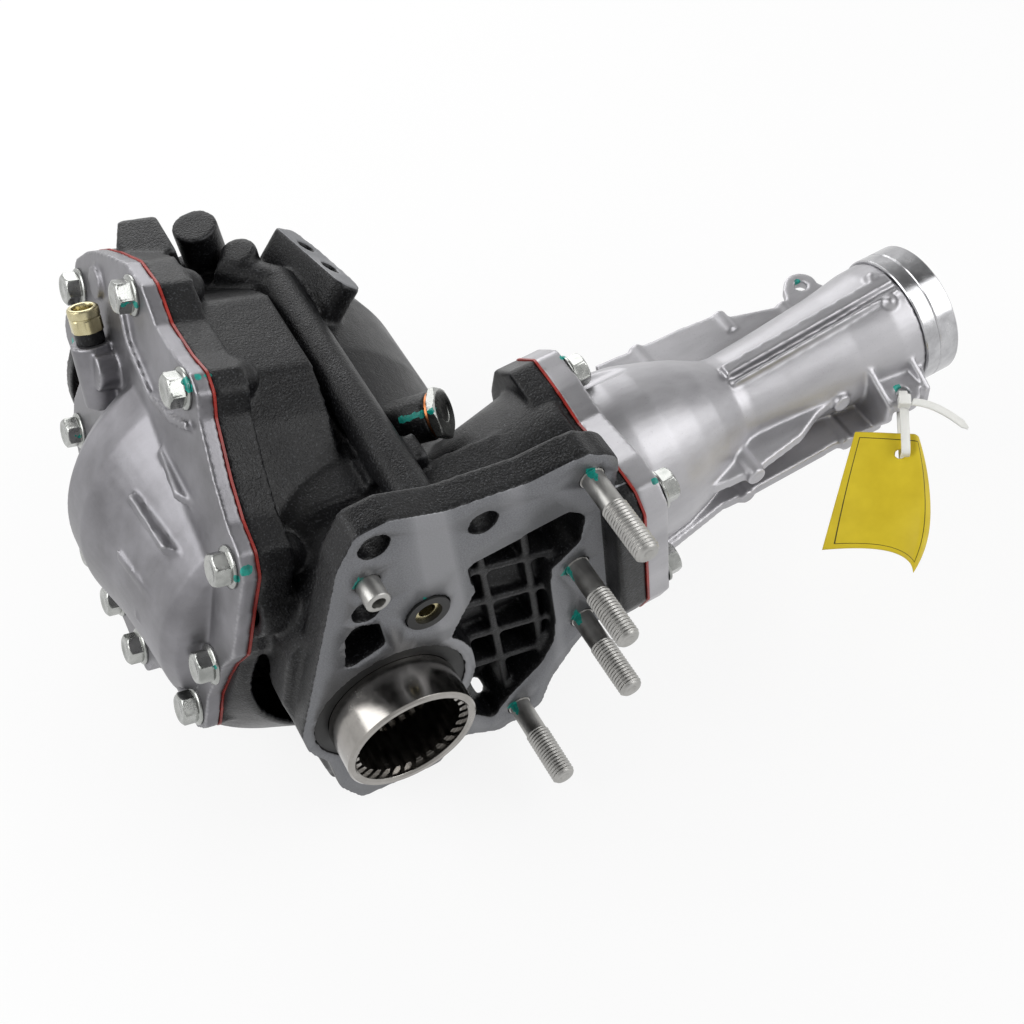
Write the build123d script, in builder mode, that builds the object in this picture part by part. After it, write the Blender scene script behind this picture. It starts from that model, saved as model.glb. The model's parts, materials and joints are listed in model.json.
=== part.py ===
from build123d import *
import os
from math import acos, cos, pi, radians, sin, sqrt, tan

os.makedirs("parts", exist_ok=True)

# Frame: X is the output axis, Y the input axis going into the case, Z up.
# The origin is on the input axis, in the plane of the mounting face.
# The output axis passes above and behind the input sleeve's mouth.
output_back = 48.0
output_rise = 20.0

# Clearances
running_gap = 0.3
fit_gap = 0.02
bolt_gap = 0.25

# Input sleeve and the hollow carrier behind it, along Y
sleeve_radius = 32.0
sleeve_seat_radius = 31.0
sleeve_seat_start = -1.5
sleeve_stand = 23.0
sleeve_mouth_radius = 28.0
sleeve_shoulder = 9.0
sleeve_bore = 24.0
spigot_radius = 27.0
spigot_end = 44.0
input_spline_teeth = 30
input_spline_tip = 25.2
input_spline_recess = 4.0
input_spline_end = 6.0
input_spline_half_widths = (1.75, 1.1)

# Hypoid pair: the ring turns about Y, the pinion about X
ring_teeth = 37
pinion_teeth = 12
pressure_angle = radians(22.5)
ring_outer_radius = 74.0
tooth_inner_reach = 50.0
ring_addendum = 0.8
pinion_addendum = 1.0
tooth_root_gap = 0.3
tooth_thinning = 0.10
ring_bore = 46.0
ring_back = 90.0
ring_bolt_count = 10
ring_bolt_circle = 61.0
ring_bolt_radius = 5.0
ring_bolt_reach = 8.0
ring_bolt_head_radius = 8.0
ring_bolt_head = 6.0

# Carrier flange and rear hub
carrier_flange_radius = 70.0
carrier_flange = 10.0
rear_hub_radius = 36.0
rear_hub_end = 118.0

# Viscous coupling drum in the domed part of the case
drum_start = 112.0
drum_end = 160.0
drum_radius = 80.0
drum_wall = 5.0
journal_radius = 34.0
journal_bore = 26.0
journal_end = 230.0

# Tapered roller bearings: bore radius, outer radius, near end, width
front_bearing_bore = 32.0
front_bearing_radius = 42.0
front_bearing_start = 10.0
front_bearing_width = 18.0
rear_bearing_radius = 44.0
rear_bearing_start = 212.0
rear_bearing_width = 16.0
head_bearing_bore = 16.0
head_bearing_radius = 31.0
head_bearing_start = ring_outer_radius + 5
head_bearing_width = 18.0
tail_bearing_bore = 15.0
tail_bearing_radius = 28.0
spacer_length = 15.0
tail_bearing_start = head_bearing_start + head_bearing_width + spacer_length
tail_bearing_width = 16.0

# Case
plate_thickness = 16.0
seal_bore = 37.8
seal_depth = 8.0
boss_radius = 43.0
wall = 6.5
ring_room = 6.0
ring_room_front = 3.0
drum_room = 9.0
drum_room_end = 5.0
stud_boss_radius = 14.0
gallery_boss_radius = 15.0
cover_tilt = 22.0
cover_distance = 60.0
case_flange = 16.0
cover_flange = 7.5
sealant = 0.5
case_back = 246.0
retainer_radius = 50.0
retainer_flange_radius = 68.0
retainer_flange = 8.0
retainer_bolt_circle = 57.0

# Output flange joint and extension
joint_face = tail_bearing_start + tail_bearing_width + 2
joint_flange = 12.0
joint_case_flange = 14.0
joint_mouth = 40.0
extension_end = 335.0
nose_start = 315.0
nose_radius = 31.0
end_ring_radius = 35.3
ring_groove_at = 323.0
yoke_bore = 19.05
bush_wall = 1.6
bush_start = 294.0
bush_length = 24.0
tail_seal_radius = 26.0
tail_seal_start = 324.0
extension_bore = 20.6

# Fasteners
stud_radius = 6.0
stud_projection = 46.0
stud_depth = 14.0
stud_shank_radius = 5.4
stud_shank = 18.0
stud_chamfer = 1.2
dowel_radius = 5.5
dowel_projection = 10.7
dowel_depth = 10.0
dowel_bore = 3.0
bolt_radius = 4.0
bolt_flats = 14.0
bolt_head = 7.0
bolt_washer_radius = 9.6
bolt_washer = 1.6
head_room_radius = 10.4
head_room = 30.0


def face_plane(y):
    """Plane parallel to the mounting face at depth y, facing out of the case."""
    return Plane(origin=(0, y, 0), x_dir=(1, 0, 0), z_dir=(0, -1, 0))


def joint_plane(x):
    """Plane square to the output axis, facing the extension; local axes are Y and Z."""
    return Plane(origin=(x, 0, 0), x_dir=(0, 1, 0), z_dir=(1, 0, 0))


def cover_plane(distance):
    """Plane of the side cover; local axes are -Y and up along the cover."""
    tilt = radians(cover_tilt)
    normal = (-cos(tilt), 0, sin(tilt))
    centre = (normal[0] * distance, 0, normal[2] * distance)
    return Plane(origin=centre, x_dir=(0, -1, 0), z_dir=normal)


output_axis = Axis((0, output_back, output_rise), (1, 0, 0))
output_plane = Plane(origin=(0, output_back, output_rise), x_dir=(1, 0, 0), z_dir=(0, -1, 0))


def outline(plane, points, rounding=0.0):
    """Closed outline on a plane, with its corners rounded."""
    with BuildSketch(plane) as drawn:
        with BuildLine():
            Polyline(*points, close=True)
        make_face()
        if rounding:
            fillet(drawn.vertices(), rounding)
    return drawn.sketch


def input_profile(points):
    """Profile of (radius, depth) points to turn about the input axis."""
    return outline(Plane.XY, points)


def output_profile(points):
    """Profile of (x, radius) points to turn about the output axis."""
    return outline(output_plane, points)


def finish(built, name):
    built.part.label = name
    export_step(built.part, f"parts/{name}.step")


# Chamber inside the case, (radius, depth), shared by case and cover
ring_chamber = ring_outer_radius + ring_room
ring_chamber_front = ring_outer_radius + ring_room_front
drum_chamber = drum_radius + drum_room
drum_chamber_end = drum_radius + drum_room_end
chamber_points = [
    (0, front_bearing_start + front_bearing_width),
    (46, front_bearing_start + front_bearing_width),
    (56, 38),
    (56, 59.5),
    (ring_chamber_front, 65.5),
    (ring_chamber, ring_back),
    (drum_chamber, 140),
    (drum_chamber, 186),
    (drum_chamber_end, 202),
    (56, 216),
    (56, 226),
    (0, 226),
]
dome_points = [
    (0, 34),
    (56, 34),
    (ring_chamber_front + wall + 1, 56),
    (ring_chamber + wall, ring_back),
    (drum_chamber + wall, 140),
    (drum_chamber + wall, 189),
    (drum_chamber_end + wall, 207),
    (80, 222),
    (67, 232),
    (67, case_back),
    (0, case_back),
]
# The cover's own dome is shorter and ends in a flat panel
cover_dome_points = [
    (0, 50), (56, 50), (ring_chamber, 59), (ring_chamber_front + wall + 1, 68), (ring_chamber + wall, ring_back),
    (ring_chamber + wall + 3.5, 117), (drum_chamber + wall + 0.5, 143), (drum_chamber + wall + 0.5, 163),
    (drum_chamber + 3, 170), (62, 175), (0, 175),
]
cover_chamber_points = [
    (0, 55), (56, 59.5), (ring_chamber_front, 65.5), (ring_chamber, ring_back), (ring_chamber + 4.5, 117),
    (drum_chamber + 0.5, 143), (drum_chamber + 0.5, 161), (drum_chamber_end, 166), (60, 170), (0, 170),
]

cover_outline = [
    (249, 76), (236, 90), (226, 98), (210, 108), (186, 121), (165, 124), (146, 117), (122, 119), (106, 123), (97, 119),
    (92, 109), (71, 93), (55, 84), (40, 80), (33, 72), (32, 50), (30, 24), (38, 8), (42, -6), (46, -24),
    (44, -46), (52, -55), (68, -58), (80, -58), (94, -63), (108, -74), (114, -88), (132, -90), (150, -86), (190, -85),
    (210, -70), (222, -44), (239, -32), (241, -10), (230, 20), (236, 46), (250, 56),
]
cover_bolts_at = [
    (174, 112), (110, 112), (46, 67), (47, 0), (56, -42), (123, -77), (156, -76), (190, -74), (228, -21),
    (239, 66),
]
# The cover's local axis runs against Y
cover_bolt_spots = [(-y, u) for y, u in cover_bolts_at]
joint_outline = [
    (-14, -6), (-14, 66), (-6, 75), (10, 76), (44, 70), (62, 74), (84, 75), (104, 56),
    (112, 34), (112, -12), (96, -34), (6, -34), (-6, -24),
]
joint_bolts_at = [(-4, 64), (74, 66), (103, 26), (86, -24), (14, -25), (-5, 4)]
plate_outline = [
    (-43, 10), (-22, 66), (-4, 114), (8, 131), (22, 131), (46, 119), (84, 110), (112, 109),
    (127, 96), (119, 40), (115, -16), (92, -42), (80, -58), (72, -79), (46, -81),
    (27, -66), (12, -81), (-30, -72), (-37, -52), (-37, -24), (-43, -6),
]
studs_at = [(112.9, 90.9), (101.2, 30.1), (100.8, -16.7), (60.2, -67.4)]
plate_holes_at = [(14.1, 118.6), (60.9, 98.5), (2.9, 78.9)]
dowel_at = (6.9, 97.2)
side_seal_at = (27.8, 55.9)
window_outline = [
    (30, 18), (44, 41), (51, 52), (50, 73), (100, 75), (108, 66), (104, 48), (88, 38),
    (86, 22), (86, 6), (86, -8), (84, -24), (76, -38), (56, -53), (46, -66), (28, -40),
]
small_window_outline = [(-14, 44), (-9, 67), (-4, 72), (6, 66), (6, 48)]


def hex_bolt(shank_length):
    """Flanged hexagon bolt standing on the XY plane, shank down."""
    with BuildPart() as bolt:
        with BuildSketch():
            Circle(bolt_washer_radius)
        extrude(amount=bolt_washer)
        with BuildSketch(Plane.XY.offset(bolt_washer)):
            RegularPolygon(bolt_flats / 2, 6, major_radius=False)
        extrude(amount=bolt_head)
        with BuildSketch():
            Circle(bolt_radius)
        extrude(amount=-shank_length)
        chamfer(bolt.faces().sort_by(Axis.Z)[0].edges(), 0.8)
    return bolt.part


def placed(plane, spots):
    """Locations on a plane for a list of local points."""
    return [plane.location * Location((u, v, 0)) for u, v in spots]


plate_hole_radius = 6.8
side_seal_radius = 10.3
side_seal_depth = 6.0
case_bolt_depth = 10.0
bolt_reach = 8.0
retainer_bolts_at = [
    (retainer_bolt_circle * cos(radians(a)), retainer_bolt_circle * sin(radians(a))) for a in range(0, 360, 60)
]
extension_ears_at = [(293, 5), (293, 92)]
ear_thread_radius = 3.4
ear_radius = 9.0
ear_bottom = 16.5
wing = 6.0
lower_wing_at = -7.0
front_wing_outline = [
    (142, 14), (162, 15), (182, 7), (204, 5), (235, 10), (250, 17), (266, 20), (272, 34), (272, 48),
    (142, 48),
]
rear_wing_outline = [
    (142, 48), (275, 48), (281, 84), (275, 86), (248, 95), (241, 100), (223, 102), (194, 103), (167, 105),
    (160, 98), (142, 92),
]
ear_outline = [
    (281, 48), (281, 24), (284, 2), (302, 2), (308, 6), (313, 14), (313, 48), (304, 84), (298, 96), (284, 96),
    (280, 86),
]
lower_wing_outline = [(142, 5), (153, 3), (189, 10), (203, 9), (258, 10), (286, 8), (292, 20), (292, 48), (142, 48)]
wing_columns = [
    (203.5, 2, 40, 5, output_rise), (265, 16, 40, 5, output_rise), (265, 8, 34, 4.5, lower_wing_at + wing / 2),
    (203, 8, 30, 4, lower_wing_at + wing / 2), (196.5, 74, 105, 4, output_rise), (277, 70, 88, 4, output_rise),
    (245, 86, 100, 4.5, output_rise),
]
ear_walls_at = [281, 304]
ear_wall = 3.5
ear_wall_outline = [(0, 10), (0, 22), (30, 38), (40, 38), (40, -8), (12, -8)]
strip_width = 7.0
strip_side = -7.5
strip_low = 28.5
strip_high = 36.5
strip_bump_radius = 4.0
strip_bumps = [(307, 53.5, 53), (306, 37.5, 51)]
output_spline_tip = 13.6
output_spline_root = 12.2
output_spline_teeth = 20
output_spline_half_widths = (0.75, 1.15)
output_spline_start = 216.0
output_shank_radius = 12.0
output_spline_end = 288.0

ridge_at = (44, 86)
ridge_radius = 10.0
ridge_end = 186.0
ridge_reach = (24, 206)
top_block_outline = [(-10, 233), (7, 226), (7, 197), (-20, 208)]
top_block_top = 122.0
top_bosses = [((22, 224), 11, 108), ((35, 205), 9, 100)]
pad_lean = radians(40)
pad_turn = radians(11.7)
pad_plane = Plane(
    origin=(69, 191, 88),
    x_dir=(sin(pad_turn), -cos(pad_turn), 0),
    z_dir=(cos(pad_lean) * cos(pad_turn), cos(pad_lean) * sin(pad_turn), sin(pad_lean)),
)
pad_outline = [(-30, 7), (-26, -9), (24, -9), (30, -6), (31, 3), (24, 9), (-10, 11)]
pad_depth = 38.0
pad_holes_at = [(-10, 0), (10, 0)]
pad_hole_radius = 4.25
pad_hole_depth = 16.0
plug_plane = Plane(origin=(75.5, 82.5, 72.8), x_dir=(0, 0, 1), z_dir=(0.83, -0.46, 0.30))
plug_boss_radius = 11.5
plug_boss_length = 40.0
case_lug_at = (46, 64, 76)
case_lug_size = (30, 16, 14)
plug_thread_radius = 8.0
plug_thread_length = 10.0
bolt_boss_radius = 9.5
side_lug_at = (36, 46)
side_lug_radius = 12.0
side_lug_hole = 5.5
filler_plane = Plane(origin=(-45.8, 199.9, 88.4), x_dir=(1, 0, 0), z_dir=(0.193, 0.394, 0.899))
filler_thread_length = 12.0
filler_thread_radius = 5.0
filler_boss_radius = 10.0
filler_boss_length = 32.0

filler_washer = 6.0
filler_head_radius = 7.5
filler_head = 12.0
filler_socket = 8.0
filler_collar_radius = 6.8
plug_washer = 1.2
plug_washer_radius = 11.0
plug_flats = 23.0
plug_head = 4.5
gallery_insert_radius = 6.5
gallery_bore = 4.0
rear_seal_radius = 36.0
rear_seal_bore = 24.0
shim_thickness = 2.0
nut_flats = 36.0
nut_height = 12.0
nut_thread_radius = 14.0
nut_start = tail_bearing_start + tail_bearing_width
hub_bore = 20.0
hub_radius = 38.0
coupling_plates = 7
coupling_plate = 1.6

tie_thickness = 1.3
tie_width = 4.4
tie_head = 5.5
tie_head_at = 8.0
tie_head_rise = 2.0
tie_tail = 32.0
loop_height = 10.8
tag_size = (46, 56)
tag_shift = (-10, 22)
tag_turn = -14
tag_hole = 2.6
tag_thickness = 0.6

case_middle = 60.0
ridge_way = (ridge_reach[0] - ridge_at[0], ridge_reach[1] - ridge_end, 4)
ridge_way_length = sqrt(sum(step**2 for step in ridge_way))

# Main case
front_body_outline = [
    (-44, 20), (-34, 52), (-10, 74), (24, 78), (60, 74), (98, 70), (112, 40),
    (108, -26), (78, -58), (20, -68), (-38, -68),
]
pocket_depth = 24.0
neck_radius = 36.0
rib_width = 4.0
rib_front = 6.0
neck_start = 40.0
lattice_uprights = (58, 80)
lattice_rungs = (50, 24, -4, -30)
lattice_lean = -22

with BuildPart() as neck_core:
    with BuildSketch(joint_plane(neck_start)):
        with Locations((output_back, output_rise)):
            Circle(neck_radius)
    extrude(amount=joint_face - neck_start)

with BuildPart() as pocket:
    extrude(outline(face_plane(pocket_depth), window_outline, 3), amount=pocket_depth + 1)
    with BuildSketch(face_plane(pocket_depth)):
        Circle(boss_radius + 1)
        with Locations(side_seal_at):
            Circle(gallery_boss_radius)
        with Locations(*studs_at):
            Circle(stud_boss_radius - 1)
    extrude(amount=pocket_depth + 1, mode=Mode.SUBTRACT)
    add(neck_core.part, mode=Mode.SUBTRACT)

with BuildPart() as lattice:
    with BuildSketch(face_plane(pocket_depth)):
        for across in lattice_uprights:
            with Locations((across, 10)):
                Rectangle(rib_width, 150)
        for rise in lattice_rungs:
            with Locations(Location((70, rise, 0), (0, 0, lattice_lean))):
                Rectangle(90, rib_width)
    extrude(amount=pocket_depth - rib_front)
    add(pocket.part, mode=Mode.INTERSECT)

cover_mouth = [
    (166, 101), (118, 101), (98, 92), (60, 66), (56, 20), (58, -8), (61, -32), (66, -47), (84, -50), (104, -54),
    (122, -62), (150, -64), (190, -60), (206, -40), (210, 40), (194, 84),
]

with BuildPart() as main_case:
    extrude(outline(face_plane(plate_thickness), plate_outline, 6), amount=plate_thickness)
    with BuildSketch(face_plane(plate_thickness)):
        Circle(boss_radius)
        with Locations(*studs_at):
            Circle(stud_boss_radius)
    extrude(amount=plate_thickness)
    extrude(outline(face_plane(case_middle), front_body_outline, 8), amount=case_middle - 12)
    revolve(input_profile(dome_points), axis=Axis.Y)
    revolve(
        output_profile([(30, 0), (30, 44), (70, 46), (joint_face - 12, 55), (joint_face - 4, 55), (joint_face - 4, 0)]),
        axis=output_axis,
    )
    extrude(outline(joint_plane(joint_face - joint_case_flange), joint_outline, 5), amount=joint_case_flange)
    with BuildSketch(cover_plane(cover_distance - case_flange)):
        add(outline(Plane.XY, [(-y, u) for y, u in cover_outline], 5))
    extrude(amount=case_flange)
    with BuildSketch(cover_plane(5)):
        add(outline(Plane.XY, [(-y, u) for y, u in cover_mouth], 5))
        offset(amount=7)
    extrude(amount=cover_distance - 10)
    with BuildSketch(face_plane(ridge_end)):
        with Locations(ridge_at):
            Circle(ridge_radius)
    extrude(amount=ridge_end - plate_thickness + 2)
    with BuildSketch(Plane(origin=(ridge_at[0], ridge_end, ridge_at[1]), x_dir=(0, 0, 1), z_dir=ridge_way)):
        Circle(ridge_radius)
    extrude(amount=ridge_way_length)
    with Locations((ridge_at[0], ridge_end, ridge_at[1])):
        Sphere(ridge_radius)
    extrude(outline(Plane.XY.offset(case_middle), top_block_outline, 2), amount=top_block_top - case_middle)
    for spot, radius, top in top_bosses:
        with BuildSketch(Plane.XY.offset(case_middle)):
            with Locations(spot):
                Circle(radius)
        extrude(amount=top - case_middle)
    extrude(outline(pad_plane, pad_outline, 3), amount=-pad_depth)
    with BuildSketch(plug_plane):
        Circle(plug_boss_radius)
    extrude(amount=-plug_boss_length)
    with Locations(case_lug_at):
        Box(*case_lug_size)
    with Locations(*placed(cover_plane(cover_distance - case_flange), cover_bolt_spots)):
        Sphere(bolt_boss_radius)
    with BuildSketch(cover_plane(cover_distance - case_flange)):
        with Locations((-side_lug_at[0], side_lug_at[1])):
            Circle(side_lug_radius)
    extrude(amount=case_flange - 1)
    split(bisect_by=cover_plane(cover_distance), keep=Keep.BOTTOM)
    with Locations((joint_face - joint_case_flange - 100, -25, 0)):
        Box(200, 50, 400, mode=Mode.SUBTRACT)
    add(pocket.part, mode=Mode.SUBTRACT)
    add(lattice.part)
    extrude(outline(face_plane(plate_thickness), small_window_outline, 2), amount=plate_thickness, mode=Mode.SUBTRACT)
    revolve(input_profile(chamber_points), axis=Axis.Y, mode=Mode.SUBTRACT)
    with BuildSketch(cover_plane(12)):
        add(outline(Plane.XY, [(-y, u) for y, u in cover_mouth], 5))
    extrude(amount=cover_distance, mode=Mode.SUBTRACT)
    with BuildSketch(face_plane(0)):
        Circle(seal_bore)
    extrude(amount=-seal_depth, mode=Mode.SUBTRACT)
    with BuildSketch(face_plane(0)):
        Circle(front_bearing_radius - 6)
    extrude(amount=-front_bearing_start, mode=Mode.SUBTRACT)
    with BuildSketch(face_plane(front_bearing_start)):
        Circle(front_bearing_radius)
    extrude(amount=-front_bearing_width, mode=Mode.SUBTRACT)
    with BuildSketch(face_plane(case_back)):
        Circle(retainer_radius)
    extrude(amount=20, mode=Mode.SUBTRACT)
    for start, end, radius in (
        (neck_start, head_bearing_start + head_bearing_width, head_bearing_radius),
        (head_bearing_start, tail_bearing_start, head_bearing_radius - 6),
        (tail_bearing_start, joint_face, tail_bearing_radius),
    ):
        with BuildSketch(joint_plane(start)):
            with Locations((output_back, output_rise)):
                Circle(radius)
        extrude(amount=end - start, mode=Mode.SUBTRACT)
    with BuildSketch(face_plane(0)):
        with Locations(*studs_at):
            Circle(stud_radius + fit_gap)
    extrude(amount=-stud_depth, mode=Mode.SUBTRACT)
    with BuildSketch(face_plane(0)):
        with Locations(dowel_at):
            Circle(dowel_radius + fit_gap)
    extrude(amount=-dowel_depth, mode=Mode.SUBTRACT)
    with BuildSketch(face_plane(0)):
        with Locations(*plate_holes_at):
            Circle(plate_hole_radius)
    extrude(amount=-plate_thickness, mode=Mode.SUBTRACT)
    with BuildSketch(face_plane(0)):
        with Locations(side_seal_at):
            Circle(side_seal_radius + fit_gap)
    extrude(amount=-side_seal_depth, mode=Mode.SUBTRACT)
    with Locations(*placed(cover_plane(cover_distance), [(-side_lug_at[0], side_lug_at[1])])):
        Cylinder(side_lug_hole, 4 * case_flange, mode=Mode.SUBTRACT)
    with Locations(*placed(pad_plane, pad_holes_at)):
        Cylinder(pad_hole_radius, 2 * pad_hole_depth, mode=Mode.SUBTRACT)
    with Locations(plug_plane.location):
        Cylinder(plug_thread_radius + fit_gap, 2 * plug_thread_length, mode=Mode.SUBTRACT)
    for spot in placed(cover_plane(cover_distance), cover_bolt_spots):
        with Locations(spot):
            Cylinder(bolt_radius + fit_gap, 2 * case_bolt_depth, mode=Mode.SUBTRACT)
    for spot in placed(joint_plane(joint_face), joint_bolts_at):
        with Locations(spot):
            Cylinder(bolt_radius + fit_gap, 2 * case_bolt_depth, mode=Mode.SUBTRACT)
    for spot in placed(face_plane(case_back), retainer_bolts_at):
        with Locations(spot):
            Cylinder(bolt_radius + fit_gap, 2 * case_bolt_depth, mode=Mode.SUBTRACT)
finish(main_case, "main_case")

# Side cover


def cover_section(u):
    """Plane across the cover at height u along it; local axes are Y and the way out of the cover."""
    tilt = radians(cover_tilt)
    up = (sin(tilt), 0, cos(tilt))
    return Plane(origin=(up[0] * u, 0, up[2] * u), x_dir=(0, 1, 0), z_dir=up)


gussets = [
    (40, [(120, 60), (120, 84), (86, 81), (70, 66), (70, 60)]),
    (12, [(112, 60), (112, 90), (82, 85), (56, 66), (56, 60)]),
    (-10, [(92, 60), (92, 87), (78, 82), (62, 66), (62, 60)]),
    (62, [(124, 60), (124, 70), (96, 73), (84, 66), (84, 60)]),
]
gusset_width = 5.0
panel_rim = [(180, 98), (170, 88), (139, 82), (115, 90), (98, 101)]
panel_rim_width = 4.0
panel_rim_height = 3.5
cover_bumps = [((186, 58), 9, 78), ((216, 87), 8, 70), ((236, 40), 11, 72)]

with BuildPart() as side_cover:
    with BuildSketch(cover_plane(cover_distance + sealant)):
        add(outline(Plane.XY, [(-y, u) for y, u in cover_outline], 4))
    extrude(amount=cover_flange)
    revolve(input_profile(cover_dome_points), axis=Axis.Y)
    for height, points in gussets:
        extrude(outline(cover_section(height), points), amount=gusset_width / 2, both=True)
    with BuildSketch(cover_plane(cover_distance + cover_flange)):
        with BuildLine():
            Polyline(*[(-y, u) for y, u in panel_rim])
        trace(line_width=panel_rim_width)
    extrude(amount=panel_rim_height)
    for (y, u), radius, top in cover_bumps:
        with BuildSketch(cover_plane(cover_distance + sealant)):
            with Locations((-y, u)):
                Circle(radius)
        extrude(amount=top - cover_distance)
    with BuildSketch(filler_plane):
        Circle(filler_boss_radius)
    extrude(amount=-filler_boss_length)
    split(bisect_by=cover_plane(cover_distance + sealant), keep=Keep.TOP)
    revolve(input_profile(cover_chamber_points), axis=Axis.Y, mode=Mode.SUBTRACT)
    with Locations(filler_plane.location):
        Cylinder(filler_thread_radius + fit_gap, 2 * filler_thread_length, mode=Mode.SUBTRACT)
    with Locations(*placed(cover_plane(cover_distance), cover_bolt_spots)):
        Cylinder(bolt_radius + bolt_gap, 4 * cover_flange, mode=Mode.SUBTRACT)
    with Locations(*placed(cover_plane(cover_distance + sealant + cover_flange), cover_bolt_spots)):
        Cylinder(head_room_radius, head_room, align=(Align.CENTER, Align.CENTER, Align.MIN), mode=Mode.SUBTRACT)
finish(side_cover, "side_cover")

# Extension
with BuildPart() as extension:
    extrude(outline(joint_plane(joint_face + sealant), joint_outline, 5), amount=joint_flange)
    revolve(
        output_profile([
            (joint_face + sealant, 0), (joint_face + sealant, 46), (152, 46), (168, 43.5), (184, 38.5),
            (197, 33.5), (206, 29), (212, 26), (218, 25.2), (240, 26.5), (280, 30), (303, 33.5),
            (nose_start, 34), (nose_start, nose_radius), (extension_end, nose_radius), (extension_end, 0),
        ]),
        axis=output_axis,
    )
    extrude(outline(Plane.XY.offset(output_rise - wing / 2), front_wing_outline, 2), amount=wing)
    extrude(outline(Plane.XY.offset(output_rise - wing / 2), rear_wing_outline, 2), amount=wing)
    extrude(outline(Plane.XY.offset(output_rise - wing / 2), ear_outline, 2), amount=wing)
    extrude(outline(Plane.XY.offset(lower_wing_at), lower_wing_outline, 2), amount=wing)
    for x, near, far, radius, height in wing_columns:
        with Locations((x, (near + far) / 2, height)):
            Cylinder(radius, far - near, rotation=(90, 0, 0))
    for x in ear_walls_at:
        extrude(outline(joint_plane(x), ear_wall_outline), amount=ear_wall)
    for across, width, drop in ((0, strip_width, 0), (strip_side, strip_width / 3, 2)):
        side_plane = Plane(
            origin=(0, output_back + across, output_rise), x_dir=(1, 0, 0), z_dir=(0, -1, 0),
        )
        strip = [(214, 15), (214, strip_low - drop), (nose_start - 2, strip_high - drop), (nose_start - 2, 15)]
        extrude(outline(side_plane, strip), amount=width / 2, both=True)
    with Locations(*strip_bumps):
        Sphere(strip_bump_radius)
    with BuildSketch(Plane.XY.offset(ear_bottom)):
        with Locations(*extension_ears_at):
            Circle(ear_radius)
    extrude(amount=output_rise + wing / 2 - ear_bottom)
    revolve(
        output_profile([
            (joint_face, 0), (joint_face, joint_mouth - 2), (150, 36), (180, 27), (200, extension_bore),
            (bush_start, extension_bore), (bush_start, yoke_bore + bush_wall),
            (bush_start + bush_length, yoke_bore + bush_wall), (bush_start + bush_length, 24),
            (tail_seal_start - 2, 24), (tail_seal_start - 2, tail_seal_radius), (extension_end, tail_seal_radius),
            (extension_end, 0),
        ]),
        axis=output_axis, mode=Mode.SUBTRACT,
    )
    with BuildSketch(Plane.XY):
        with Locations(*extension_ears_at):
            Circle(ear_thread_radius)
    extrude(amount=60, mode=Mode.SUBTRACT)
    with Locations(*placed(joint_plane(joint_face), joint_bolts_at)):
        Cylinder(bolt_radius + bolt_gap, 4 * joint_flange, mode=Mode.SUBTRACT)
    with Locations(*placed(joint_plane(joint_face + sealant + joint_flange), joint_bolts_at)):
        Cylinder(head_room_radius, head_room, align=(Align.CENTER, Align.CENTER, Align.MIN), mode=Mode.SUBTRACT)
finish(extension, "extension")

with BuildPart() as end_ring:
    revolve(
        output_profile([
            (nose_start, nose_radius + fit_gap), (nose_start, end_ring_radius - 0.6),
            (nose_start + 0.6, end_ring_radius), (ring_groove_at, end_ring_radius),
            (ring_groove_at + 0.6, end_ring_radius - 0.5), (ring_groove_at + 1.2, end_ring_radius),
            (extension_end - 0.8, end_ring_radius), (extension_end, end_ring_radius - 0.8),
            (extension_end, nose_radius + fit_gap),
        ]),
        axis=output_axis,
    )
finish(end_ring, "end_ring")

with BuildPart() as yoke_bush:
    revolve(
        output_profile([
            (bush_start, yoke_bore), (bush_start, yoke_bore + bush_wall - fit_gap),
            (bush_start + bush_length, yoke_bore + bush_wall - fit_gap), (bush_start + bush_length, yoke_bore),
        ]),
        axis=output_axis,
    )
finish(yoke_bush, "yoke_bush")

with BuildPart() as tail_seal:
    revolve(
        output_profile([
            (tail_seal_start, yoke_bore + 0.6), (tail_seal_start, tail_seal_radius - fit_gap),
            (extension_end - 1, tail_seal_radius - fit_gap), (extension_end - 1, 22), (extension_end - 3, 22),
            (extension_end - 3, yoke_bore + 0.6),
        ]),
        axis=output_axis,
    )
finish(tail_seal, "tail_seal")

# Input side, turned about Y
with BuildPart() as input_sleeve:
    revolve(
        input_profile([
            (input_spline_tip, input_spline_recess - sleeve_stand),
            (sleeve_mouth_radius, input_spline_recess - sleeve_stand),
            (sleeve_mouth_radius, 1 - sleeve_stand), (sleeve_mouth_radius + 1, -sleeve_stand),
            (sleeve_radius - 1, -sleeve_stand), (sleeve_radius, 1 - sleeve_stand),
            (sleeve_radius, sleeve_seat_start), (sleeve_seat_radius, sleeve_seat_start),
            (sleeve_seat_radius, sleeve_shoulder), (spigot_radius - fit_gap, sleeve_shoulder),
            (spigot_radius - fit_gap, spigot_end), (sleeve_bore, spigot_end), (sleeve_bore, input_spline_end),
            (input_spline_tip, input_spline_end),
        ]),
        axis=Axis.Y,
    )
    with BuildSketch(face_plane(input_spline_end)):
        wide, narrow = input_spline_half_widths
        with PolarLocations(0, input_spline_teeth):
            Polygon(
                (input_spline_tip - 1, -wide), (sleeve_mouth_radius, -narrow),
                (sleeve_mouth_radius, narrow), (input_spline_tip - 1, wide), align=None,
            )
    extrude(amount=input_spline_end + sleeve_stand, mode=Mode.SUBTRACT)
finish(input_sleeve, "input_sleeve")

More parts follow.
